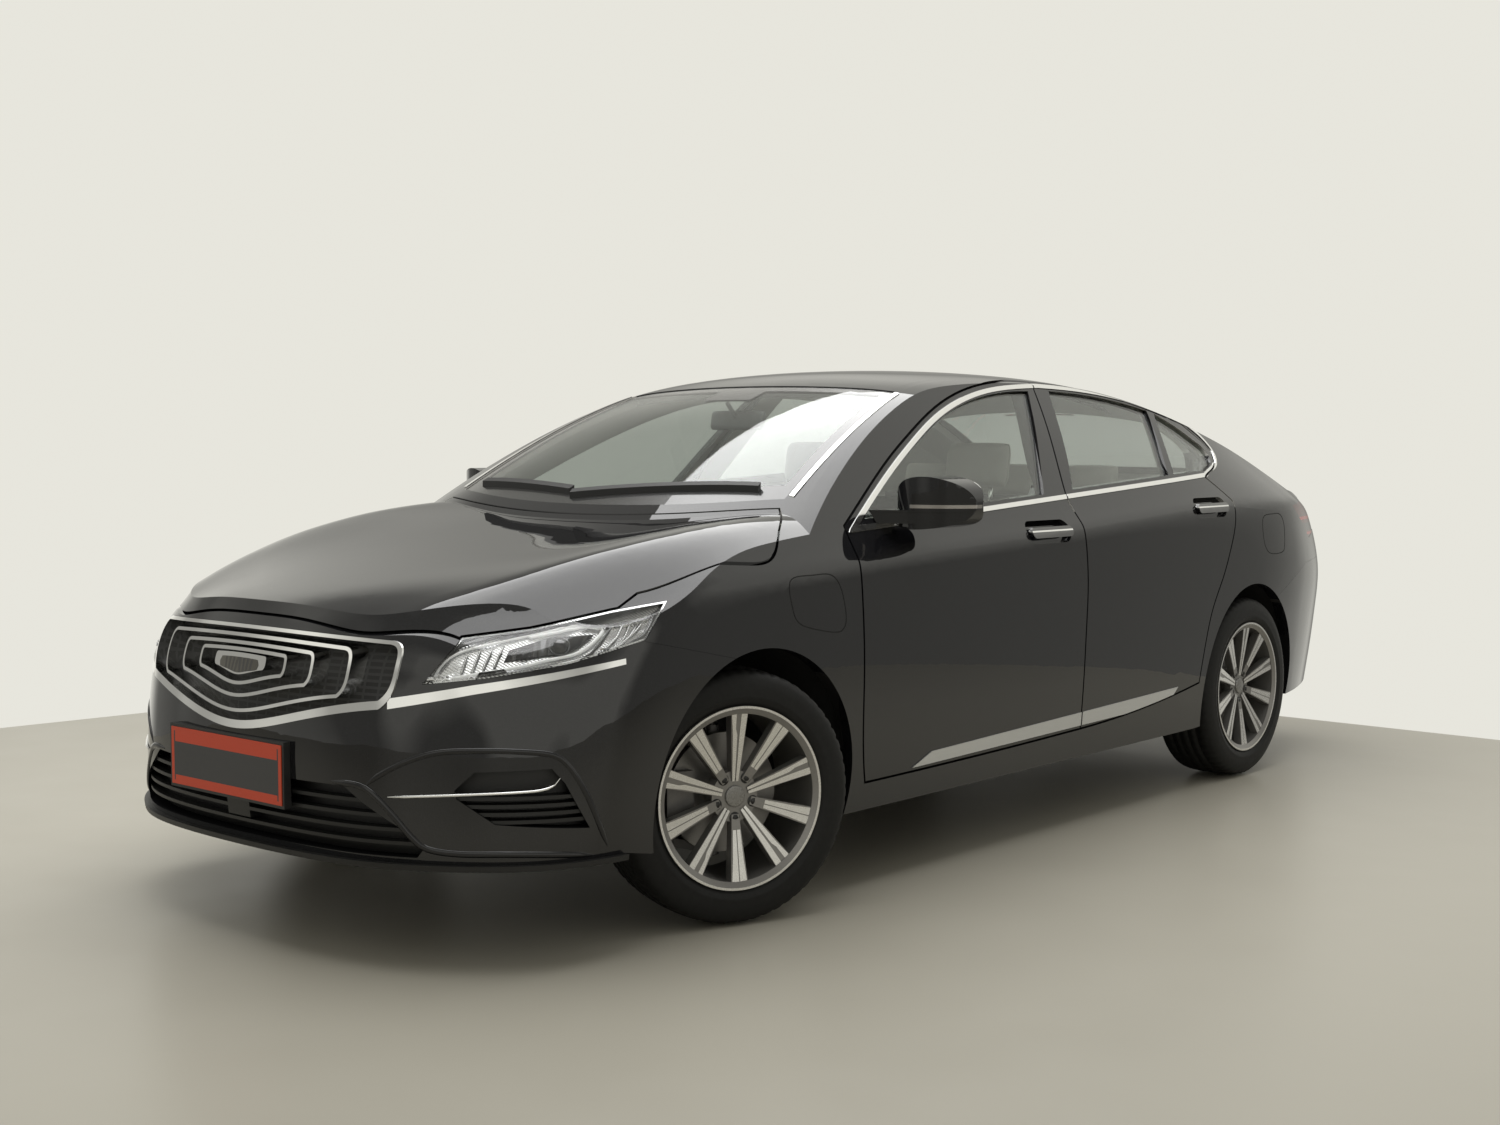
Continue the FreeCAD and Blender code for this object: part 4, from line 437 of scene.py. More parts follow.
def ribbon(surface, line, width, lift, crown=0.0, closed=False):
    """A strip along a line: its edges stand lift off the surface, its middle crown more."""
    seats = [seat_of(surface, point) for point in line]
    count = len(seats)
    points = []
    for i, (spot, up) in enumerate(seats):
        before = seats[i - 1][0] if i or closed else spot
        after = seats[(i + 1) % count][0] if i < count - 1 or closed else spot
        side = (after - before).cross(up).normalized()
        for share, rise in ((-0.5, 0), (-0.3, 0.8), (0, 1), (0.3, 0.8), (0.5, 0)):
            points.append(spot + side * width * share + up * (lift + crown * rise))
    faces = []
    for i in range(count if closed else count - 1):
        for j in range(4):
            a, b = i * 5 + j, (i + 1) % count * 5 + j
            faces.append((a, a + 1, b + 1, b))
    return points, faces


def patch(surface, low, high, rows, lift):
    """A sheet between two lines, laid on a surface or sunk behind it."""
    count = 40
    lines = []
    for line in (run(low), run(high)):
        lines.append([line[round(i * (len(line) - 1) / (count - 1))] for i in range(count)])
    points, faces = [], []
    for start, end in zip(*lines):
        for j in range(rows + 1):
            spot, up = seat_of(surface, start.lerp(end, j / rows))
            points.append(spot + up * lift)
    spot, up = seat_of(surface, points[0])
    tilt = (points[rows + 1] - points[0]).cross(points[1] - points[0])
    for i in range(count - 1):
        for j in range(rows):
            a, b = i * (rows + 1) + j, (i + 1) * (rows + 1) + j
            faces.append((a, b, b + 1, a + 1) if tilt.dot(up) > 0 else (a, a + 1, b + 1, b))
    return points, faces


def over(line, way):
    """The same line on the car's other side where way is -1."""
    return [(x * way, y, z) for x, y, z in line]


def piece(name, points, faces, finish, body, slot, stand=Matrix(), smooth=True):
    """A new mesh of the car, in metres, that rides on a body."""
    if stand.determinant() < 0:
        faces = [face[::-1] for face in faces]
    mesh = bpy.data.meshes.new(name)
    mesh.from_pydata([stand @ Vector(point) for point in points], [], faces)
    mesh.materials.append(finish.material)
    mesh.polygons.foreach_set("use_smooth", [smooth] * len(mesh.polygons))
    made = bpy.data.objects.new(name, mesh)
    scene.collection.objects.link(made)
    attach(made, body)
    return made


def together(*meshes):
    """Several lots of points and faces as one."""
    points, faces = [], []
    for more_points, more_faces in meshes:
        faces += [tuple(corner + len(points) for corner in face) for face in more_faces]
        points += more_points
    return points, faces


lamp_rim = [(0.572, -2.354, 0.666), (0.580, -2.335, 0.716), (0.590, -2.300, 0.756), (0.613, -2.262, 0.785),
            (0.659, -2.187, 0.806), (0.703, -2.119, 0.819), (0.748, -2.038, 0.836), (0.786, -1.948, 0.851),
            (0.821, -1.866, 0.865), (0.852, -1.812, 0.871), (0.872, -1.850, 0.838), (0.880, -1.892, 0.795),
            (0.866, -1.950, 0.772), (0.847, -2.009, 0.752), (0.805, -2.093, 0.736), (0.758, -2.170, 0.719),
            (0.704, -2.239, 0.703), (0.642, -2.301, 0.684)]
bowl_low = [(0.580, -2.347, 0.670), (0.642, -2.301, 0.688), (0.704, -2.239, 0.707), (0.758, -2.170, 0.723),
            (0.805, -2.093, 0.740), (0.847, -2.009, 0.757), (0.866, -1.950, 0.777), (0.876, -1.895, 0.800)]
bowl_high = [(0.590, -2.325, 0.712), (0.613, -2.265, 0.780), (0.659, -2.190, 0.801), (0.703, -2.122, 0.814),
             (0.748, -2.041, 0.831), (0.786, -1.951, 0.846), (0.821, -1.869, 0.860), (0.852, -1.820, 0.866)]
guides = [([(0.588, -2.342, 0.678), (0.594, -2.324, 0.720), (0.606, -2.292, 0.756), (0.630, -2.255, 0.776),
            (0.659, -2.211, 0.788), (0.692, -2.157, 0.800), (0.725, -2.102, 0.811), (0.756, -2.045, 0.823),
            (0.792, -1.970, 0.836)], 0.006),
          ([(0.713, -2.128, 0.803), (0.751, -2.071, 0.814), (0.782, -2.008, 0.823), (0.805, -1.975, 0.826),
            (0.818, -1.980, 0.814), (0.822, -2.008, 0.792), (0.817, -2.040, 0.773), (0.806, -2.069, 0.761),
            (0.774, -2.124, 0.750), (0.738, -2.181, 0.736), (0.683, -2.250, 0.721),
            (0.629, -2.302, 0.708)], 0.009),
          ([(0.590, -2.340, 0.682), (0.650, -2.294, 0.694), (0.706, -2.236, 0.712), (0.760, -2.166, 0.728),
            (0.807, -2.089, 0.744), (0.846, -2.006, 0.762), (0.862, -1.955, 0.780)], 0.006)]
channel = [(0.801, -1.958, 0.838), (0.819, -1.953, 0.829), (0.829, -1.971, 0.812), (0.832, -1.999, 0.789),
           (0.831, -2.024, 0.768), (0.826, -2.047, 0.755), (0.803, -2.091, 0.744), (0.755, -2.167, 0.729),
           (0.702, -2.238, 0.712)]
fins = [[(0.641, -2.288, 0.718), (0.637, -2.262, 0.764)], [(0.661, -2.270, 0.722), (0.654, -2.235, 0.774)],
        [(0.678, -2.251, 0.727), (0.671, -2.210, 0.780)], [(0.694, -2.228, 0.735), (0.686, -2.188, 0.786)],
        [(0.840, -2.028, 0.750), (0.849, -1.960, 0.798), (0.820, -1.908, 0.847)],
        [(0.847, -2.016, 0.752), (0.859, -1.948, 0.790), (0.829, -1.887, 0.850)],
        [(0.855, -1.998, 0.758), (0.865, -1.928, 0.798), (0.838, -1.864, 0.853)],
        [(0.858, -1.969, 0.774), (0.868, -1.908, 0.811), (0.848, -1.845, 0.858)]]
unit_low = [(0.700, -2.200, 0.745), (0.741, -2.154, 0.757), (0.775, -2.105, 0.762), (0.800, -2.060, 0.774),
            (0.815, -2.020, 0.800)]
unit_high = [(0.700, -2.182, 0.776), (0.723, -2.138, 0.790), (0.750, -2.085, 0.803), (0.784, -2.045, 0.806),
             (0.813, -2.005, 0.808)]
unit_middle = (0.776, -2.087, 0.781)
unit_radius = 0.026
unit_steps = [(1.00, 0.0), (1.00, 0.006), (0.90, 0.006), (0.86, 0.001), (0.80, 0.003), (0.60, 0.011),
              (0.35, 0.016), (0.02, 0.018)]
cover = skin("headlamps")
bowl_depth = -0.016
unit_depth = -0.0135
# A strip's form is its width, how far its edges stand off the cover, and its crown.
guide_depth, guide_crown = -0.0125, 0.004
fin_form = (0.007, -0.0145, 0.006)
channel_form = (0.006, -0.0130, 0.002)
rim_form = (0.007, -0.0065, 0.0)
unit_sheet_depth = -0.0140


def lens_unit(middle, radius, lift):
    """The round lens unit: a ring of steps and a domed glass, set into the cover's line."""
    spot, up = seat_of(cover, middle)
    stand = Matrix.Translation(spot + up * lift) @ up.to_track_quat("Z", "Y").to_matrix().to_4x4()
    around, rows = 36, len(unit_steps)
    points, faces = [], []
    for i in range(around):
        angle = 2 * math.pi * i / around
        points += [stand @ Vector((radius * share * math.cos(angle), radius * share * math.sin(angle), high))
                   for share, high in unit_steps]
        for j in range(rows - 1):
            a, b = i * rows + j, (i + 1) % around * rows + j
            faces.append((a, b, b + 1, a + 1))
    return points, faces


sides = (("left", 1), ("right", -1))
for side, way in sides:
    bowl = patch(cover, over(bowl_low, way), over(bowl_high, way), 8, bowl_depth)
    piece(side + "_lamp_bowl", *bowl, bowl_silver, "body", "lamp_glass")
    lit = [ribbon(cover, run(over(line, way)), wide, guide_depth, guide_crown) for line, wide in guides]
    piece(side + "_light_guides", *together(*lit), guide_white, "body", "lamp_glass")
    steps = [ribbon(cover, run(over(line, way)), *fin_form) for line in fins]
    piece(side + "_lamp_fins", *together(*steps), bowl_silver, "body", "lamp_glass")
    dark = [ribbon(cover, run(over(channel, way)), *channel_form),
            ribbon(cover, run(over(lamp_rim, way), closed=True), *rim_form, True),
            patch(cover, over(unit_low, way), over(unit_high, way), 4, unit_sheet_depth),
            lens_unit(over([unit_middle], way)[0], unit_radius, unit_depth)]
    piece(side + "_lamp_unit", *together(*dark), unit_black, "body", "black_plastic")

# Front end details: a bright bar across each side intake, gloss ribs round the
# intakes, and the blank dark face of the shield in the grille.
intake_bar = [(0.520, -2.413, 0.421), (0.578, -2.380, 0.425), (0.669, -2.319, 0.431), (0.755, -2.245, 0.436),
              (0.806, -2.182, 0.440), (0.826, -2.152, 0.452), (0.832, -2.139, 0.468)]
lower_rib = [(0.364, -2.460, 0.447), (0.447, -2.438, 0.443), (0.489, -2.422, 0.418), (0.535, -2.402, 0.371),
             (0.571, -2.383, 0.327), (0.603, -2.361, 0.299), (0.668, -2.318, 0.289), (0.754, -2.243, 0.288),
             (0.822, -2.152, 0.282), (0.858, -2.055, 0.271)]
outer_rib = [(0.456, -2.434, 0.439), (0.492, -2.419, 0.469), (0.555, -2.387, 0.506), (0.621, -2.344, 0.530),
             (0.695, -2.289, 0.536), (0.776, -2.211, 0.533), (0.822, -2.150, 0.521), (0.843, -2.118, 0.489),
             (0.861, -2.082, 0.424), (0.868, -2.047, 0.349), (0.868, -2.015, 0.285)]
shield_y = -2.49
shield_high = [(-0.0835, 0.7165), (-0.0775, 0.7274), (0, 0.7296), (0.0775, 0.7274), (0.0835, 0.7165)]
shield_low = [(-0.0845, 0.7130), (-0.0800, 0.7007), (-0.0413, 0.6936), (0, 0.6870), (0.0413, 0.6936),
              (0.0800, 0.7007), (0.0845, 0.7130)]
shield_lift = 0.0005
bar_sink = 0.002
# Width and height of each bar.
intake_bar_size = (0.009, 0.007)
lower_rib_size = (0.018, 0.007)
outer_rib_size = (0.016, 0.006)


def bar(line, width, height):
    """A half round bar along a line on the nose, whose openings it may cross."""
    count, bend, level_share, fade_steps = len(line), 30, 0.4, 4
    points, out = [], Vector((0, -1, 0))
    for i, spot in enumerate(line):
        along = line[min(i + 1, count - 1)] - line[max(i - 1, 0)]
        level = Vector((along.y, -along.x, 0))
        if level.length > level_share * along.length:
            out = level.normalized() if level.dot(Vector((spot.x, spot.y, 0))) > 0 else -level.normalized()
        across = along.cross(out).normalized()
        fade = min(1, (i + 1) / fade_steps, (count - i) / fade_steps)
        for degrees in range(0, 180 + bend, bend):
            turn = math.radians(degrees)
            points.append(spot + across * width / 2 * fade * math.cos(turn)
                          + out * (height * fade * math.sin(turn) - bar_sink))
    row = len(points) // count
    starts = range(0, len(points) - row, row)
    faces = [(i + j, i + row + j, i + row + j + 1, i + j + 1) for i in starts for j in range(row - 1)]
    faces += [(i, i + row - 1, i + 2 * row - 1, i + row) for i in starts]
    return points, faces


rib_black = Finish("gloss rib lacquer", coat_weight=1.0, coat_roughness=0.02, specular_ior_level=0.0)
rib_black.set("Base Color", flecked(rib_black))
rib_black.set("Roughness", rib_black.grain(*gloss_grain))
for side, way in sides:
    bright = bar(run(over(intake_bar, way)), *intake_bar_size)
    piece(side + "_intake_bar", *bright, chrome, "body", "bright_trim")
    ribs = [bar(run(over(lower_rib, way)), *lower_rib_size), bar(run(over(outer_rib, way)), *outer_rib_size)]
    piece(side + "_intake_ribs", *together(*ribs), rib_black, "body", "paint")
shield_lines = [[(x, shield_y, z) for x, z in line] for line in (shield_low, shield_high)]
shield_face = patch(skin("grille"), *shield_lines, 4, shield_lift)
piece("shield_face", *shield_face, unit_black, "body", "black_plastic")

# Shut lines of the two flaps: the charging socket's in the left front wing, the
# fuel filler's in the left rear wing.
charge_flap = [(0.906, -1.372, 0.880), (0.902, -1.350, 0.905), (0.903, -1.270, 0.908), (0.906, -1.195, 0.905),
               (0.910, -1.158, 0.870), (0.916, -1.140, 0.795), (0.919, -1.150, 0.758), (0.919, -1.190, 0.748),
               (0.917, -1.305, 0.770), (0.914, -1.350, 0.792), (0.911, -1.366, 0.830)]
fuel_flap = [(0.892, 1.482, 0.978), (0.887, 1.560, 0.984), (0.886, 1.640, 0.980), (0.890, 1.672, 0.940),
             (0.896, 1.664, 0.860), (0.900, 1.640, 0.836), (0.906, 1.560, 0.832), (0.907, 1.500, 0.842),
             (0.904, 1.466, 0.880), (0.900, 1.460, 0.945)]
flap_step = 0.008
flap_form = (0.0032, 0.0004, 0.0)
shut_tones = (seam_shade, (0.004, 0.004, 0.004, 1))
shut_line = toned("shut line shade", shut_tones, (200.0, 1.0), (200.0, 0.1, 0.8))
wings = skin("body_shell")
flaps = (charge_flap, fuel_flap)
flap_lines = [ribbon(wings, run(flap, flap_step, True), *flap_form, True) for flap in flaps]
piece("flap_shut_lines", *together(*flap_lines), shut_line, "body", "black_plastic")

# Rear end details: a red reflector low in each corner of the bumper, a black lower
# apron with ribs, and a high brake lamp inside the rear window's top edge.
reflector_line = [(0.800, 2.340, 0.405), (0.720, 2.400, 0.402), (0.640, 2.440, 0.400)]
reflector_form = (0.026, 0.0006, 0.004)
apron_heights = (0.300, 0.320, 0.340)
apron_form = (0.009, 0.0004, 0.004)
apron_step = 0.03
brake_line = [(-0.16, 1.297, 1.35), (0.0, 1.292, 1.352), (0.16, 1.297, 1.35)]
brake_form = (0.020, -0.009, 0.003)
rear_skin = skin("rear_bumper")
for side, way in sides:
    strip = ribbon(rear_skin, run(over(reflector_line, way)), *reflector_form)
    piece(side + "_rear_reflector", *strip, red_lens, "body", "red_lens")
apron_lines = [[(-0.62, 2.46, height), (0.0, 2.50, height), (0.62, 2.46, height)] for height in apron_heights]
ribs = [ribbon(rear_skin, run(line, apron_step), *apron_form) for line in apron_lines]
piece("rear_apron_ribs", *together(*ribs), moulding, "body", "black_plastic")
high_lamp = ribbon(skin("screens"), run(brake_line), *brake_form)
piece("high_brake_lamp", *high_lamp, red_lens, "body", "red_lens")

# Cabin: soft grained dashboard and console, a leather rimmed steering wheel, and
# the inner mirror on a stalk from the windscreen.
cabin_tones = ((0.10, 0.10, 0.10, 1), (0.05, 0.05, 0.052, 1))
cabin = toned("cabin moulding", cabin_tones, (900.0, 0.5), (900.0, 0.2, 0.55))
dress(cabin, "dashboard", "steering_wheel")
form_cuts = 52
side_pull = 0.025
corner_cut = 0.16
seam_depth = 0.007
seam_width = 0.05
bolster_slope = 0.2


def seam(offset):
    """How far a seam's stitching pulls the cover in, at an offset from it."""
    return math.exp(-((offset / seam_width) ** 2))


def lofty(half, crown=0.0, bolster=0.0, rise=0.0, channels=()):
    """A stuffed form with a crowned top, its sides pulled in between its corners and its seams sunk."""
    shares = [math.sin(math.pi * (i / form_cuts - 0.5)) for i in range(form_cuts + 1)]
    ends = (0, form_cuts)
    points, faces, number = [], [], {}
    for way in (1, -1):
        for i, u in enumerate(shares):
            for j, v in enumerate(shares):
                if way < 0 and (i in ends or j in ends):
                    number[way, i, j] = number[1, i, j]
                    continue
                number[way, i, j] = len(points)
                full = math.sqrt(max(0.0, (1 - u**6) * (1 - v**6)))
                high = way * half[2]
                if way > 0:
                    high += crown * (1 - u * u) * (1 - v * v)
                    high += rise * min(1.0, max(0.0, (abs(u) - bolster) / bolster_slope))
                    sunk = seam(abs(u) - bolster) if bolster else 0.0
                    if not rise or abs(u) < bolster:
                        sunk += sum(seam(v - channel) for channel in channels)
                    high -= seam_depth * min(1.0, sunk)
                across = half[0] * u * (1 - side_pull * (1 - v * v)) * math.sqrt(1 - corner_cut * v**4)
                along = half[1] * v * (1 - side_pull * (1 - u * u)) * math.sqrt(1 - corner_cut * u**4)
                points.append(Vector((across, along, high * full)))
        for i in range(form_cuts):
            for j in range(form_cuts):
                face = tuple(number[way, i + k, j + m] for k, m in ((0, 0), (1, 0), (1, 1), (0, 1)))
                faces.append(face[::way])
    rim = [(i, 0) for i in range(form_cuts)] + [(form_cuts, j) for j in range(form_cuts)]
    rim += [(form_cuts - i, form_cuts) for i in range(form_cuts)]
    rim += [(0, form_cuts - j) for j in range(form_cuts)]
    return (points, faces), [points[number[1, i, j]] for i, j in rim]


def tube(line, radius, closed=False):
    """A round bar, or piping, along a line."""
    flats, count = 8, len(line)
    points, faces = [], []
    for i, spot in enumerate(line):
        before = line[i - 1] if i or closed else spot
        after = line[(i + 1) % count] if i < count - 1 or closed else spot
        turn = (after - before).to_track_quat("Z", "Y").to_matrix()
        for k in range(flats):
            angle = 2 * math.pi * k / flats
            points.append(spot + turn @ Vector((radius * math.cos(angle), radius * math.sin(angle), 0)))
    for i in range(count if closed else count - 1):
        a, b = i * flats, (i + 1) % count * flats
        faces += [(a + k, a + (k + 1) % flats, b + (k + 1) % flats, b + k) for k in range(flats)]
    if not closed:
        faces += [tuple(range(flats))[::-1], tuple(range(len(points) - flats, len(points)))]
    return points, faces


def stand_at(x, y, z, lean):
    """A place in the car, turned about the cross axis so that a form's length leans by that angle."""
    return Matrix.Translation((x, y, z)) @ Matrix.Rotation(math.radians(lean), 4, "X")


mirror_place = (0, -0.585, 1.36)
mirror_drop = Vector((0, 0.055, -0.062))
mirror_lean = 80
mirror_half = (0.118, 0.033, 0.014)
mirror_glass_half = (0.110, 0.028, 0.0015)
mirror_glass_out = -0.0135
stalk_radius = 0.007
stalk_sink = 0.006
mirror_foot, foot_up = seat_of(skin("screens"), mirror_place)
mirror_middle = mirror_foot + mirror_drop
mirror_stand = stand_at(*mirror_middle, mirror_lean)
glass_stand = mirror_stand @ Matrix.Translation((0, 0, mirror_glass_out))
stalk = tube([mirror_foot - foot_up * stalk_sink, mirror_middle], stalk_radius)
piece("inner_mirror", *lofty(mirror_half)[0], cabin, "body", "cabin_plastic", mirror_stand)
piece("inner_mirror_glass", *lofty(mirror_glass_half)[0], chrome, "body", "bright_trim", glass_stand)
piece("inner_mirror_stalk", *stalk, cabin, "body", "cabin_plastic")

# Seats: foam in sewn covers of pale hide, crowned and piped, with stitched
# channels between bolsters. The front ones stand on dark moulded bases, and each
# headrest on two steel posts. The rear bench is one cushion and one back.
hide_tones = ((0.34, 0.327, 0.293, 1), (0.28, 0.270, 0.242, 1))
pore_scale = 1200.0
seat_hide = toned("seat hide", hide_tones, (60.0, 0.6), (pore_scale, 0.15, 0.48))
seat_hide.bump(seat_hide.noise(pore_scale), 0.15, 0.0005)
dress(seat_hide, "seats")
front_x = 0.3703
rear_x = 0.38
piping_radius = 0.0032
post_radius = 0.0065
post_spacing = 0.130
post_reach = (0.6, 2.1)
# A form is its place (y, z and lean), its half sizes, its crown, where its bolsters
# start, how far they rise, and its cross channels, as shares of the half sizes.
front_forms = {"cushion": ((-0.188, 0.412, -5.3), (0.246, 0.242, 0.058), 0.012, 0.62, 0.014,
                           (-0.45, 0.0, 0.45)),
               "back": ((0.171, 0.7325, 71.6), (0.232, 0.330, 0.040), 0.010, 0.60, 0.014,
                        (-0.5, -0.15, 0.2, 0.55)),
               "headrest": ((0.316, 1.180, 79.9), (0.130, 0.078, 0.036), 0.008, 0.0, 0.0, ())}
bench_forms = {"cushion": ((0.705, 0.440, -6.7), (0.600, 0.215, 0.060), 0.012, 0.34, 0.0, (-0.3, 0.3)),
               "back": ((1.000, 0.741, 75.4), (0.560, 0.262, 0.034), 0.008, 0.34, 0.0, (-0.5, 0.0, 0.5))}
bench_rest = ((1.075, 1.110, 80.0), (0.112, 0.060, 0.028), 0.006, 0.0, 0.0, ())
base_place = (-0.188, 0.297, 0)
base_half = (0.205, 0.200, 0.062)
sewn = [(f"{side}_seat_{part}", way * front_x, form)
        for side, way in sides for part, form in front_forms.items()]
sewn += [("bench_" + part, 0.0, form) for part, form in bench_forms.items()]
sewn += [(place + "_bench_headrest", way * rear_x, bench_rest)
         for place, way in (("left", 1), ("middle", 0), ("right", -1))]
piping, posts = [], []
for name, x, (place, half, crown, bolster, rise, channels) in sewn:
    form, rim = lofty(half, crown, bolster, rise, channels)
    stand = stand_at(x, *place)
    cushion = piece(name, *form, seat_hide, "body", "seat_cloth", stand)
    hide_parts("seats")
    piping.append(tube([stand @ spot for spot in rim], piping_radius, True))
    if name.endswith("headrest"):
        for way in (1, -1):
            ends = [stand @ Vector((way * post_spacing / 2, -half[1] * reach, 0)) for reach in post_reach]
            posts.append(tube(ends, post_radius))
piece("seat_piping", *together(*piping), seat_hide, "body", "seat_cloth")
piece("headrest_posts", *together(*posts), chrome, "body", "bright_trim")
for side, way in sides:
    base, stand = lofty(base_half)[0], stand_at(way * front_x, *base_place)
    piece(side + "_seat_base", *base, cabin, "body", "cabin_plastic", stand)

# Floor pan and running gear: sealed steel pan, cast arms and knuckles, forged
# beam, stainless exhaust, and the engine block.
pan_tones = ((0.020, 0.020, 0.021, 1), (0.040, 0.039, 0.038, 1))
pan = toned("sealed steel", pan_tones, (30.0, 1.0), (80.0, 0.2, 0.6))
dress(pan, "floor_pan")
gear_tones = ((0.12, 0.12, 0.12, 1), (0.22, 0.21, 0.20, 1))
gear = toned("chassis steel", gear_tones, (25.0, 1.0), (120.0, 0.2, 0.4), metallic=0.8)
dress(gear, "undercarriage", "engine", "left_knuckle", "right_knuckle")

# Wheels: forged alloy rims, their spoke faces turned bright in a lathe over grey
# paint, on rubber tyres with four grooves and cut blocks. Five bolts hold each.
wheel_radius = 0.3385
half_track = 0.795
kingpin = 0.735
axle_y = {"front": -1.493, "rear": 1.357}
steered = math.radians(-20)
spoke_turn = math.radians(36)
face_line = ((0.048, 0.0744), (0.2246, 0.0984))
full_circle = 2 * math.pi


def hub(end, side):
    """A wheel's own frame, with its origin in the hub and +X out of the car."""
    way = 1 if side == "left" else -1
    stand = Matrix.Translation((way * half_track, axle_y[end], wheel_radius))
    stand = stand @ Matrix.Diagonal((way, 1, 1, 1))
    if end == "rear":
        return stand
    pin = Matrix.Translation((way * kingpin, axle_y[end], 0))
    return pin @ Matrix.Rotation(steered, 4, "Z") @ pin.inverted() @ stand


def turned_ring(profile, steps):
    """Points and faces of a profile of (x, radius) turned round the X axis."""
    points = []
    for i in range(steps):
        turn = full_circle * i / steps
        points += [(x, r * math.cos(turn), r * math.sin(turn)) for x, r in profile]
    rows = len(profile)
    faces = []
    for i in range(steps):
        for j in range(rows - 1):
            a, b = i * rows + j, (i + 1) % steps * rows + j
            faces.append((a, a + 1, b + 1, b))
    return points, faces


tyre_half = [(0.0, 0.3385), (0.013, 0.3384), (0.0140, 0.3315), (0.0215, 0.3314), (0.0225, 0.3381),
             (0.046, 0.3371), (0.0470, 0.3303), (0.0545, 0.3300), (0.0555, 0.3365), (0.079, 0.3343),
             (0.093, 0.3305), (0.1015, 0.3235), (0.1072, 0.3120), (0.1110, 0.2985), (0.1128, 0.2850),
             (0.1122, 0.2700), (0.1128, 0.2665), (0.1118, 0.2640), (0.1095, 0.2560), (0.1052, 0.2490),
             (0.1000, 0.2444), (0.0994, 0.2292)]
tyre_profile = [(-x, r) for x, r in tyre_half[:0:-1]] + tyre_half
tread_steps = 240
cut_every = 4
shoulder_x, shoulder_bottom, shoulder_cut = (0.05, 0.095), 0.3300, 0.004
block_x, block_bottom, block_cut = (0.022, 0.047), 0.3340, 0.002


def tyre_mesh():
    points, faces = turned_ring(tyre_profile, tread_steps)
    rows = len(tyre_profile)
    for i in range(tread_steps):
        for j, (x, r) in enumerate(tyre_profile):
            depth = 0.0
            if i % cut_every == 0 and shoulder_x[0] < abs(x) < shoulder_x[1] and r > shoulder_bottom:
                depth = shoulder_cut
            if i % cut_every == cut_every / 2 and block_x[0] < abs(x) < block_x[1] and r > block_bottom:
                depth = block_cut
            if depth:
                px, py, pz = points[i * rows + j]
                points[i * rows + j] = (px, py * (1 - depth / r), pz * (1 - depth / r))
    return points, faces


face_lift = 0.0004


def spoke_face(outline, angle):
    """A thin bright facing on a spoke's front: (radius, offset) corners, laid on the face line."""
    (r0, x0), (r1, x1) = face_line
    cosine, sine = math.cos(angle), math.sin(angle)
    points = []
    for r, offset in outline:
        x = x0 + (x1 - x0) * (r - r0) / (r1 - r0) + face_lift
        points.append((x, r * cosine - offset * sine, r * sine + offset * cosine))
    return points, [tuple(range(len(outline)))]


long_left = [(0.040, 0.0016), (0.165, 0.0032), (0.182, 0.0085), (0.2262, 0.0090), (0.2262, 0.0240),
             (0.186, 0.0190), (0.165, 0.0165), (0.040, 0.0090)]
long_right = [(0.040, -0.0090), (0.2262, -0.0240), (0.2262, -0.0060), (0.165, -0.0032), (0.040, -0.0016)]
short_left = [(0.088, 0.0012), (0.2262, 0.0014), (0.2262, 0.0225), (0.165, 0.0160), (0.088, 0.0110)]
short_right = [(0.088, -0.0110), (0.165, -0.0160), (0.2262, -0.0225), (0.2262, -0.0014), (0.088, -0.0012)]
rim_lip = [(0.1000, 0.2262), (0.1066, 0.2340), (0.1083, 0.2368), (0.1084, 0.2426)]
lip_steps = 120
bolt_circle = 0.0571
bolt_count = 5
first_spoke = math.radians(90)
first_bolt = math.radians(54)
bolt_seat = ([(0.0704, 0.0155), (0.0720, 0.0150), (0.0720, 0.0001)], 24)
bolt_head = ([(0.0705, 0.0095), (0.0755, 0.0092), (0.0760, 0.0001)], 6)


def machined_faces():
    lots = []
    for i in range(bolt_count):
        long_turn = first_spoke + i * 2 * spoke_turn
        lots += [spoke_face(outline, long_turn) for outline in (long_left, long_right)]
        lots += [spoke_face(outline, long_turn + spoke_turn) for outline in (short_left, short_right)]
    lots.append(turned_ring(rim_lip, lip_steps))
    return together(*lots)


def bolts():
    lots = []
    for i in range(bolt_count):
        turn = first_bolt + i * 2 * spoke_turn
        y, z = bolt_circle * math.cos(turn), bolt_circle * math.sin(turn)
        for profile, steps in (bolt_seat, bolt_head):
            points, faces = turned_ring(profile, steps)
            lots.append(([(px, py + y, pz + z) for px, py, pz in points], faces))
    return together(*lots)


rubber_tones = ((0.005, 0.005, 0.005, 1), (0.010, 0.010, 0.0095, 1))
rubber = toned("tyre rubber", rubber_tones, (60.0, 1.0), (90.0, 0.15, 0.55), specular_ior_level=0.3)
rubber.bump(rubber.noise(500.0), 0.1, 0.0005)
pocket_tones = ((0.20, 0.195, 0.185, 1), (0.26, 0.25, 0.24, 1))
pocket = toned("grey wheel paint", pocket_tones, (300.0, 1.0), (200.0, 0.1, 0.30), metallic=0.6)
machined_tones = ((0.72, 0.71, 0.69, 1), (0.64, 0.63, 0.61, 1))
machined = toned("machined alloy", machined_tones, (40.0, 1.0), (400.0, 0.12, 0.22), metallic=1.0)
bolt_tones = ((0.03, 0.03, 0.03, 1), (0.06, 0.06, 0.06, 1))
bolt_steel = toned("dark bolt steel", bolt_tones, (200.0, 1.0), (200.0, 0.1, 0.4), metallic=0.7)
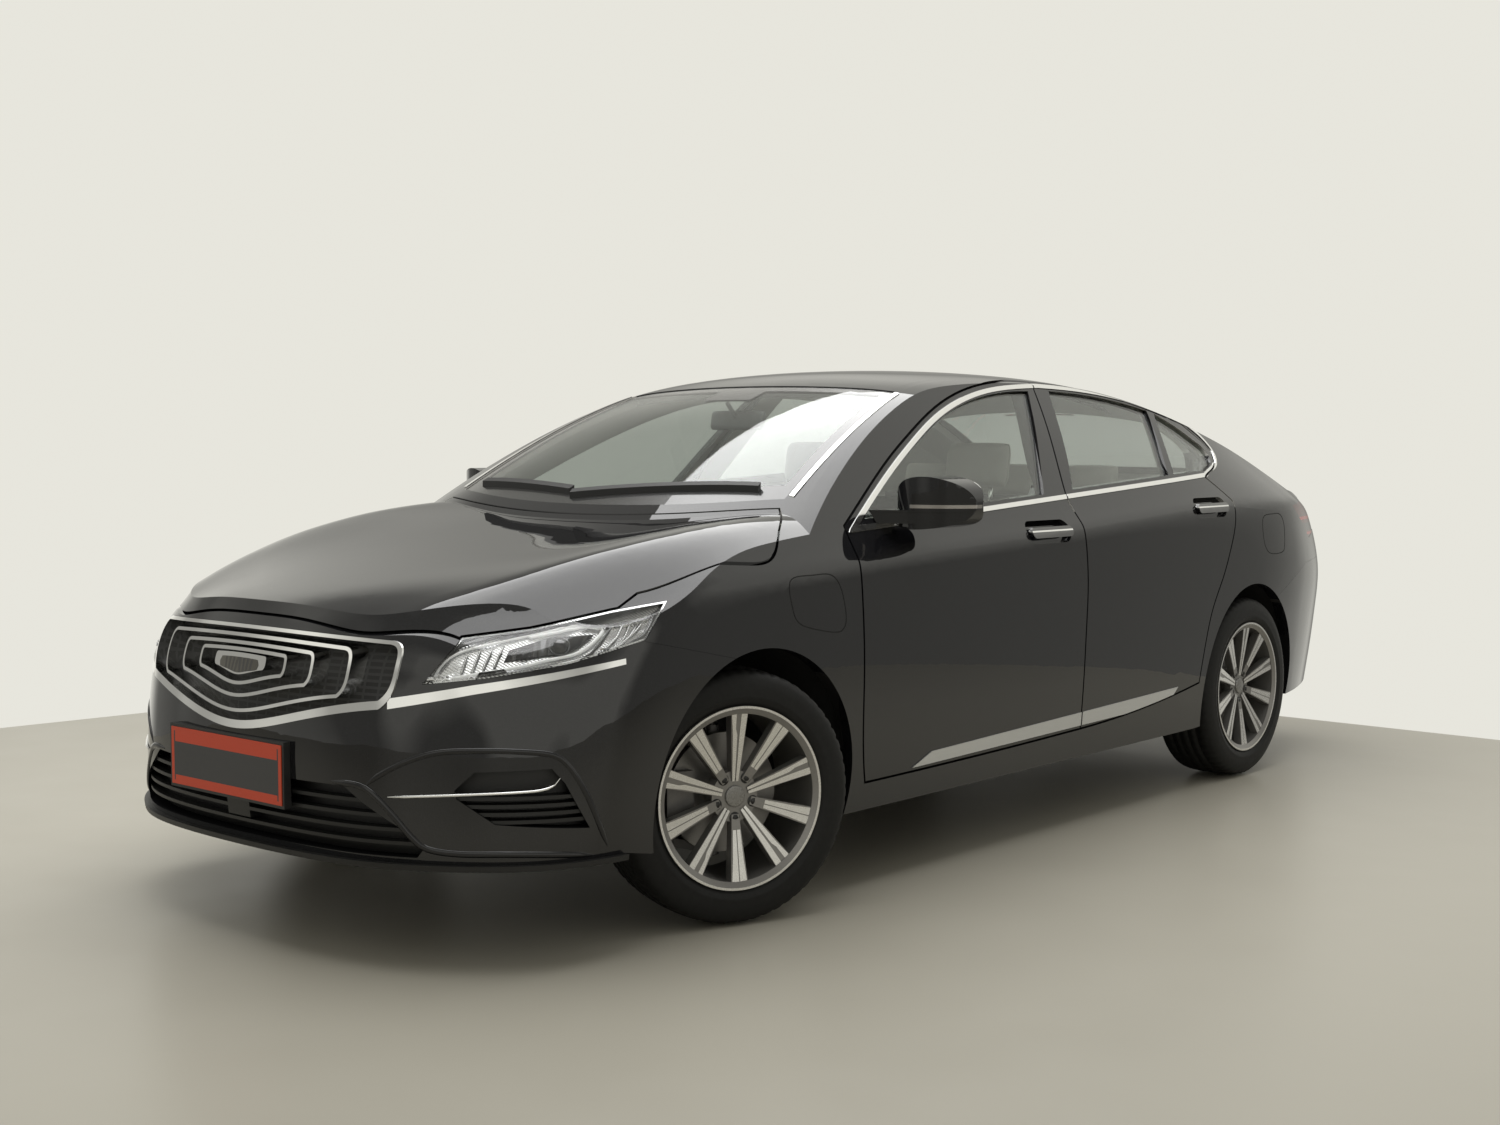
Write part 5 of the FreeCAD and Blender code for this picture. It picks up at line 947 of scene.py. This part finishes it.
cap_tones = ((0.22, 0.215, 0.205, 1), (0.25, 0.245, 0.235, 1))
cap_paint = toned("centre cap paint", cap_tones, (100.0, 1.0), (100.0, 0.05, 0.25), metallic=0.5)
cap_profile = [(0.0705, 0.0290), (0.0735, 0.0286), (0.0752, 0.0270), (0.0756, 0.0250), (0.0758, 0.0001)]
cap_steps = 48
cap = turned_ring(cap_profile, cap_steps)
for end in ("front", "rear"):
    for side in ("left", "right"):
        stand, body, name = hub(end, side), f"{end}_{side}_wheel", f"{end}_{side}"
        dress(pocket, name + "_rim")
        tyre = piece(name + "_tread_tyre", *tyre_mesh(), rubber, body, "tyre", stand)
        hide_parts(name + "_tyre")
        facings = name + "_machined_faces"
        piece(facings, *machined_faces(), machined, body, "wheel_alloy", stand, smooth=False)
        piece(name + "_wheel_bolts", *bolts(), bolt_steel, body, "wheel_alloy", stand)
        piece(name + "_centre_cap", *cap, cap_paint, body, "wheel_alloy", stand)

# Plates: blank pressed plates in black holders, with an orange red border and
# bands round a dark field.
plate_red = (0.60, 0.058, 0.018, 1)
plate_dark = (0.045, 0.045, 0.048, 1)
holder_tones = ((0.012, 0.012, 0.012, 1), (0.02, 0.02, 0.02, 1))
front_plate = ((-0.0214, 0.448), (0.241, 0.075))
rear_plate = ((0.0, 0.600), (0.260, 0.056))
border = (0.012, 0.010)
top_band, bottom_band, band_inset = 0.038, 0.024, 0.017
plate = Finish("blank plate")
x, y, z = plate.parts(plate.place)
rear = y > 0
off_x = abs(x - plate.between(rear, front_plate[0][0], rear_plate[0][0]))
off_z = z - plate.between(rear, front_plate[0][1], rear_plate[0][1])
half_x = plate.between(rear, front_plate[1][0], rear_plate[1][0])
half_z = plate.between(rear, front_plate[1][1], rear_plate[1][1])
on_plate = (off_x < half_x) & (abs(off_z) < half_z)
inner = (off_x < half_x - border[0]) & (abs(off_z) < half_z - border[1])
in_band = (off_z > half_z - top_band) | (off_z < bottom_band - half_z)
bands = in_band & (off_x < half_x - band_inset)
face_colour = plate.between(inner & (1 - bands), plate_red, plate_dark)
holder_colour = plate.between(plate.noise(60.0), *holder_tones)
plate.set("Base Color", plate.between(on_plate, holder_colour, face_colour))
plate.set("Roughness", plate.noise(60.0) * 0.1 + 0.35)
plate.bump(inner + plate.noise(300.0) * 0.05, 0.3, 0.002)
dress(plate, "plates")

# Studio: a plain pale floor under a soft overhead light, with a pale surround.
floor_tones = ((0.388, 0.367, 0.309, 1), (0.356, 0.340, 0.287, 1))
surround = (0.80, 0.788, 0.722, 1)
seen_glow = 1.0
hidden_glow = 0.65
# What paint and glass mirror of the surround drifts between a darker and a brighter
# wall: the noise that it follows, then its limits and the shades at them.
wall_drift = {"Scale": 1.7, "Detail": 1.0, "Roughness": 0.4}
wall_shades = {1: 0.42, 2: 0.58, 3: 0.45, 4: 1.15}
room_corner = Vector((-3.309, 2.953, -0.0005))
left_wall = Vector((-0.1012, -0.9949, 0))
back_wall = Vector((0.9996, -0.0270, 0))
room_reach = 40.0
ground_mesh = bpy.data.meshes.new("studio_floor")
reaches = (Vector(), left_wall, left_wall + back_wall, back_wall)
ground_mesh.from_pydata([room_corner + reach * room_reach for reach in reaches], [], [(0, 1, 2, 3)])
ground = bpy.data.objects.new("studio_floor", ground_mesh)
scene.collection.objects.link(ground)
stone = Finish("studio floor stone")
stone.set("Base Color", stone.between(stone.noise(1.2, 6) * 0.4, *floor_tones))
stone.set("Roughness", stone.noise(3.0) * 0.1 + 0.3)
ground.data.materials.append(stone.material)


def soft_lamp(name, location, aim, size, power):
    lamp = bpy.data.lights.new(name, "AREA")
    lamp.shape = "RECTANGLE"
    lamp.size, lamp.size_y = size
    lamp.energy = power
    holder = bpy.data.objects.new(name, lamp)
    holder.location = location
    holder.rotation_euler = (Vector(aim) - Vector(location)).to_track_quat("-Z", "Y").to_euler()
    scene.collection.objects.link(holder)


lamp_place = (-0.45, -0.05, 4.6)
lamp_aim = (-0.45, -0.05, 0)
soft_lamp("ceiling_lamp", lamp_place, lamp_aim, (5.1, 6.8), 320)
world = bpy.data.worlds.new("pale surround")
scene.world = world
world.use_nodes = True
sky = Field(world.node_tree)
backdrop = world.node_tree.nodes["Background"]
path = sky.node("LightPath", {}, {}).socket.node
rays = ("Is Camera Ray", "Is Glossy Ray", "Is Transmission Ray")
direct, mirrored, refracted = (Field(world.node_tree, path.outputs[ray]) for ray in rays)
backdrop.inputs["Color"].default_value = surround
mirrored_there = mirrored & (1 - direct)
heading = sky.node("TexCoord", {}, {}, "Generated")
drift = sky.node("TexNoise", {}, {"Vector": heading, **wall_drift})
shade = sky.node("MapRange", {"clamp": True}, {"Value": drift, **wall_shades})
dimmed = 1 - mirrored_there * (1 - shade)
strength = (direct | mirrored | refracted) * (seen_glow - hidden_glow) + hidden_glow
sky.plug(backdrop.inputs["Strength"], strength * dimmed)

# Camera: where the photograph was taken from.
lens_camera = bpy.data.cameras.new("camera")
lens_camera.lens = 44.981
lens_camera.sensor_width = 36.0
lens_camera.clip_end = 200.0
viewer = bpy.data.objects.new("camera", lens_camera)
viewer.location = (4.06645, -5.20523, 1.28791)
viewer.rotation_euler = [math.radians(turn) for turn in (86.08095, -0.07271, 40.72290)]
scene.collection.objects.link(viewer)
scene.camera = viewer
scene.view_settings.view_transform = "Standard"
